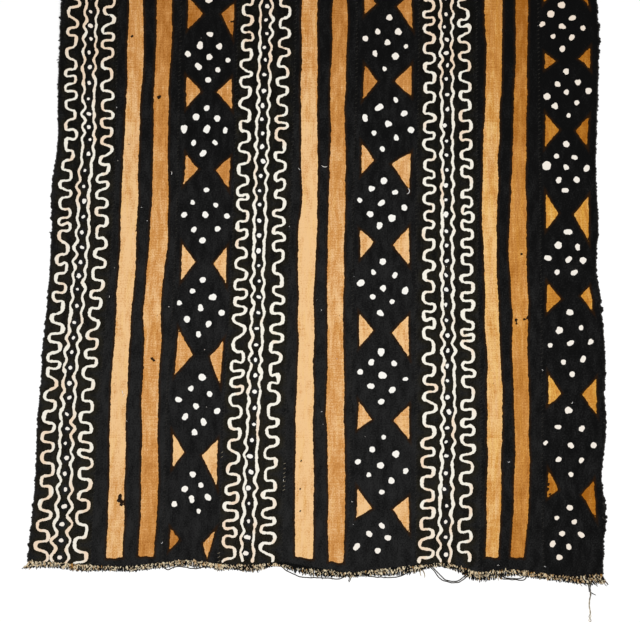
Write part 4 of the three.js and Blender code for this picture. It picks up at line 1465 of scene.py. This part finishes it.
class MUDCLOTH_OT_diamond_strips(bpy.types.Operator):
    """Adds the three strips with dotted diamonds between ochre triangles"""

    bl_idname = "mudcloth.diamond_strips"
    bl_label = "Diamond strips"

    def execute(self, context):
        add_strips(context, "diamond", DIAMOND_SPACING, diamond_paint, WAISTS)
        return {"FINISHED"}


class MUDCLOTH_OT_sewing(bpy.types.Operator):
    """Adds the stitches along the eight seams and the weft loops along the two outer selvedges"""

    bl_idname = "mudcloth.sewing"
    bl_label = "Seams and selvedges"

    def execute(self, context):
        size, tint = context.scene.cloth_sizes, context.scene.cloth_colours
        rng = np.random.default_rng(SEWING_SEED)
        material = yarn_material("mud_dyed_thread", tint.mud_worn, tint.frayed_cream, tint.frayed_tan)
        stitches = yarn_mesh("seam_stitches", seam_stitches(rng, size), THREAD_SIDES)
        add_piece(stitches, "mud_black_cotton", [], material)
        for name, line, outwards in (("left", 0, -1), ("right", STRIPS, 1)):
            bundles = [selvedge_loops(rng, line, outwards, size), stray_ends(SELVEDGE_TUFTS[name], size)]
            mesh = yarn_mesh(f"selvedge_{name}", bundles, YARN_SIDES)
            add_piece(mesh, "mud_black_cotton", [], material)
        return {"FINISHED"}


class MUDCLOTH_OT_lint(bpy.types.Operator):
    """Adds the flecks of cotton lint on the face"""

    bl_idname = "mudcloth.lint"
    bl_label = "Lint"

    def execute(self, context):
        size, tint = context.scene.cloth_sizes, context.scene.cloth_colours
        material = yarn_material("cotton_lint", tint.mud_worn, tint.lint, tint.frayed_cream)
        fibres = lint_fibres(np.random.default_rng(LINT_SEED), size)
        add_piece(yarn_mesh("lint", [fibres], THREAD_SIDES), "frayed_cotton", [], material)
        return {"FINISHED"}


OPERATORS = (
    MUDCLOTH_OT_stage,
    MUDCLOTH_OT_frayed_ends,
    MUDCLOTH_OT_meander_strips,
    MUDCLOTH_OT_barred_strips,
    MUDCLOTH_OT_diamond_strips,
    MUDCLOTH_OT_sewing,
    MUDCLOTH_OT_lint,
)


class MUDCLOTH_PT_maker(bpy.types.Panel):
    """Lists the steps that make the cloth"""

    bl_idname = "MUDCLOTH_PT_maker"
    bl_label = "Mud Cloth"
    bl_space_type = "VIEW_3D"
    bl_region_type = "UI"
    bl_category = "Mud Cloth"

    def draw(self, context):
        for operator in OPERATORS:
            self.layout.operator(operator.bl_idname)


PROPERTY_GROUPS = {"cloth_sizes": ClothSizes, "cloth_colours": ClothColours, "cloth_studio": StudioSettings}


def register():
    """Registers the classes and hangs the properties on the scene."""
    for cls in (*PROPERTY_GROUPS.values(), *OPERATORS, MUDCLOTH_PT_maker):
        bpy.utils.register_class(cls)
    for name, group in PROPERTY_GROUPS.items():
        setattr(bpy.types.Scene, name, PointerProperty(type=group))


def unregister():
    """Takes the properties off the scene and the classes out again."""
    for name in PROPERTY_GROUPS:
        delattr(bpy.types.Scene, name)
    for cls in (MUDCLOTH_PT_maker, *reversed(OPERATORS), *reversed(PROPERTY_GROUPS.values())):
        bpy.utils.unregister_class(cls)


def main():
    """Makes the cloth step by step."""
    register()
    bpy.ops.mudcloth.stage()
    bpy.ops.mudcloth.frayed_ends()
    bpy.ops.mudcloth.meander_strips()
    bpy.ops.mudcloth.barred_strips()
    bpy.ops.mudcloth.diamond_strips()
    bpy.ops.mudcloth.sewing()
    bpy.ops.mudcloth.lint()


if __name__ == "__main__":
    main()
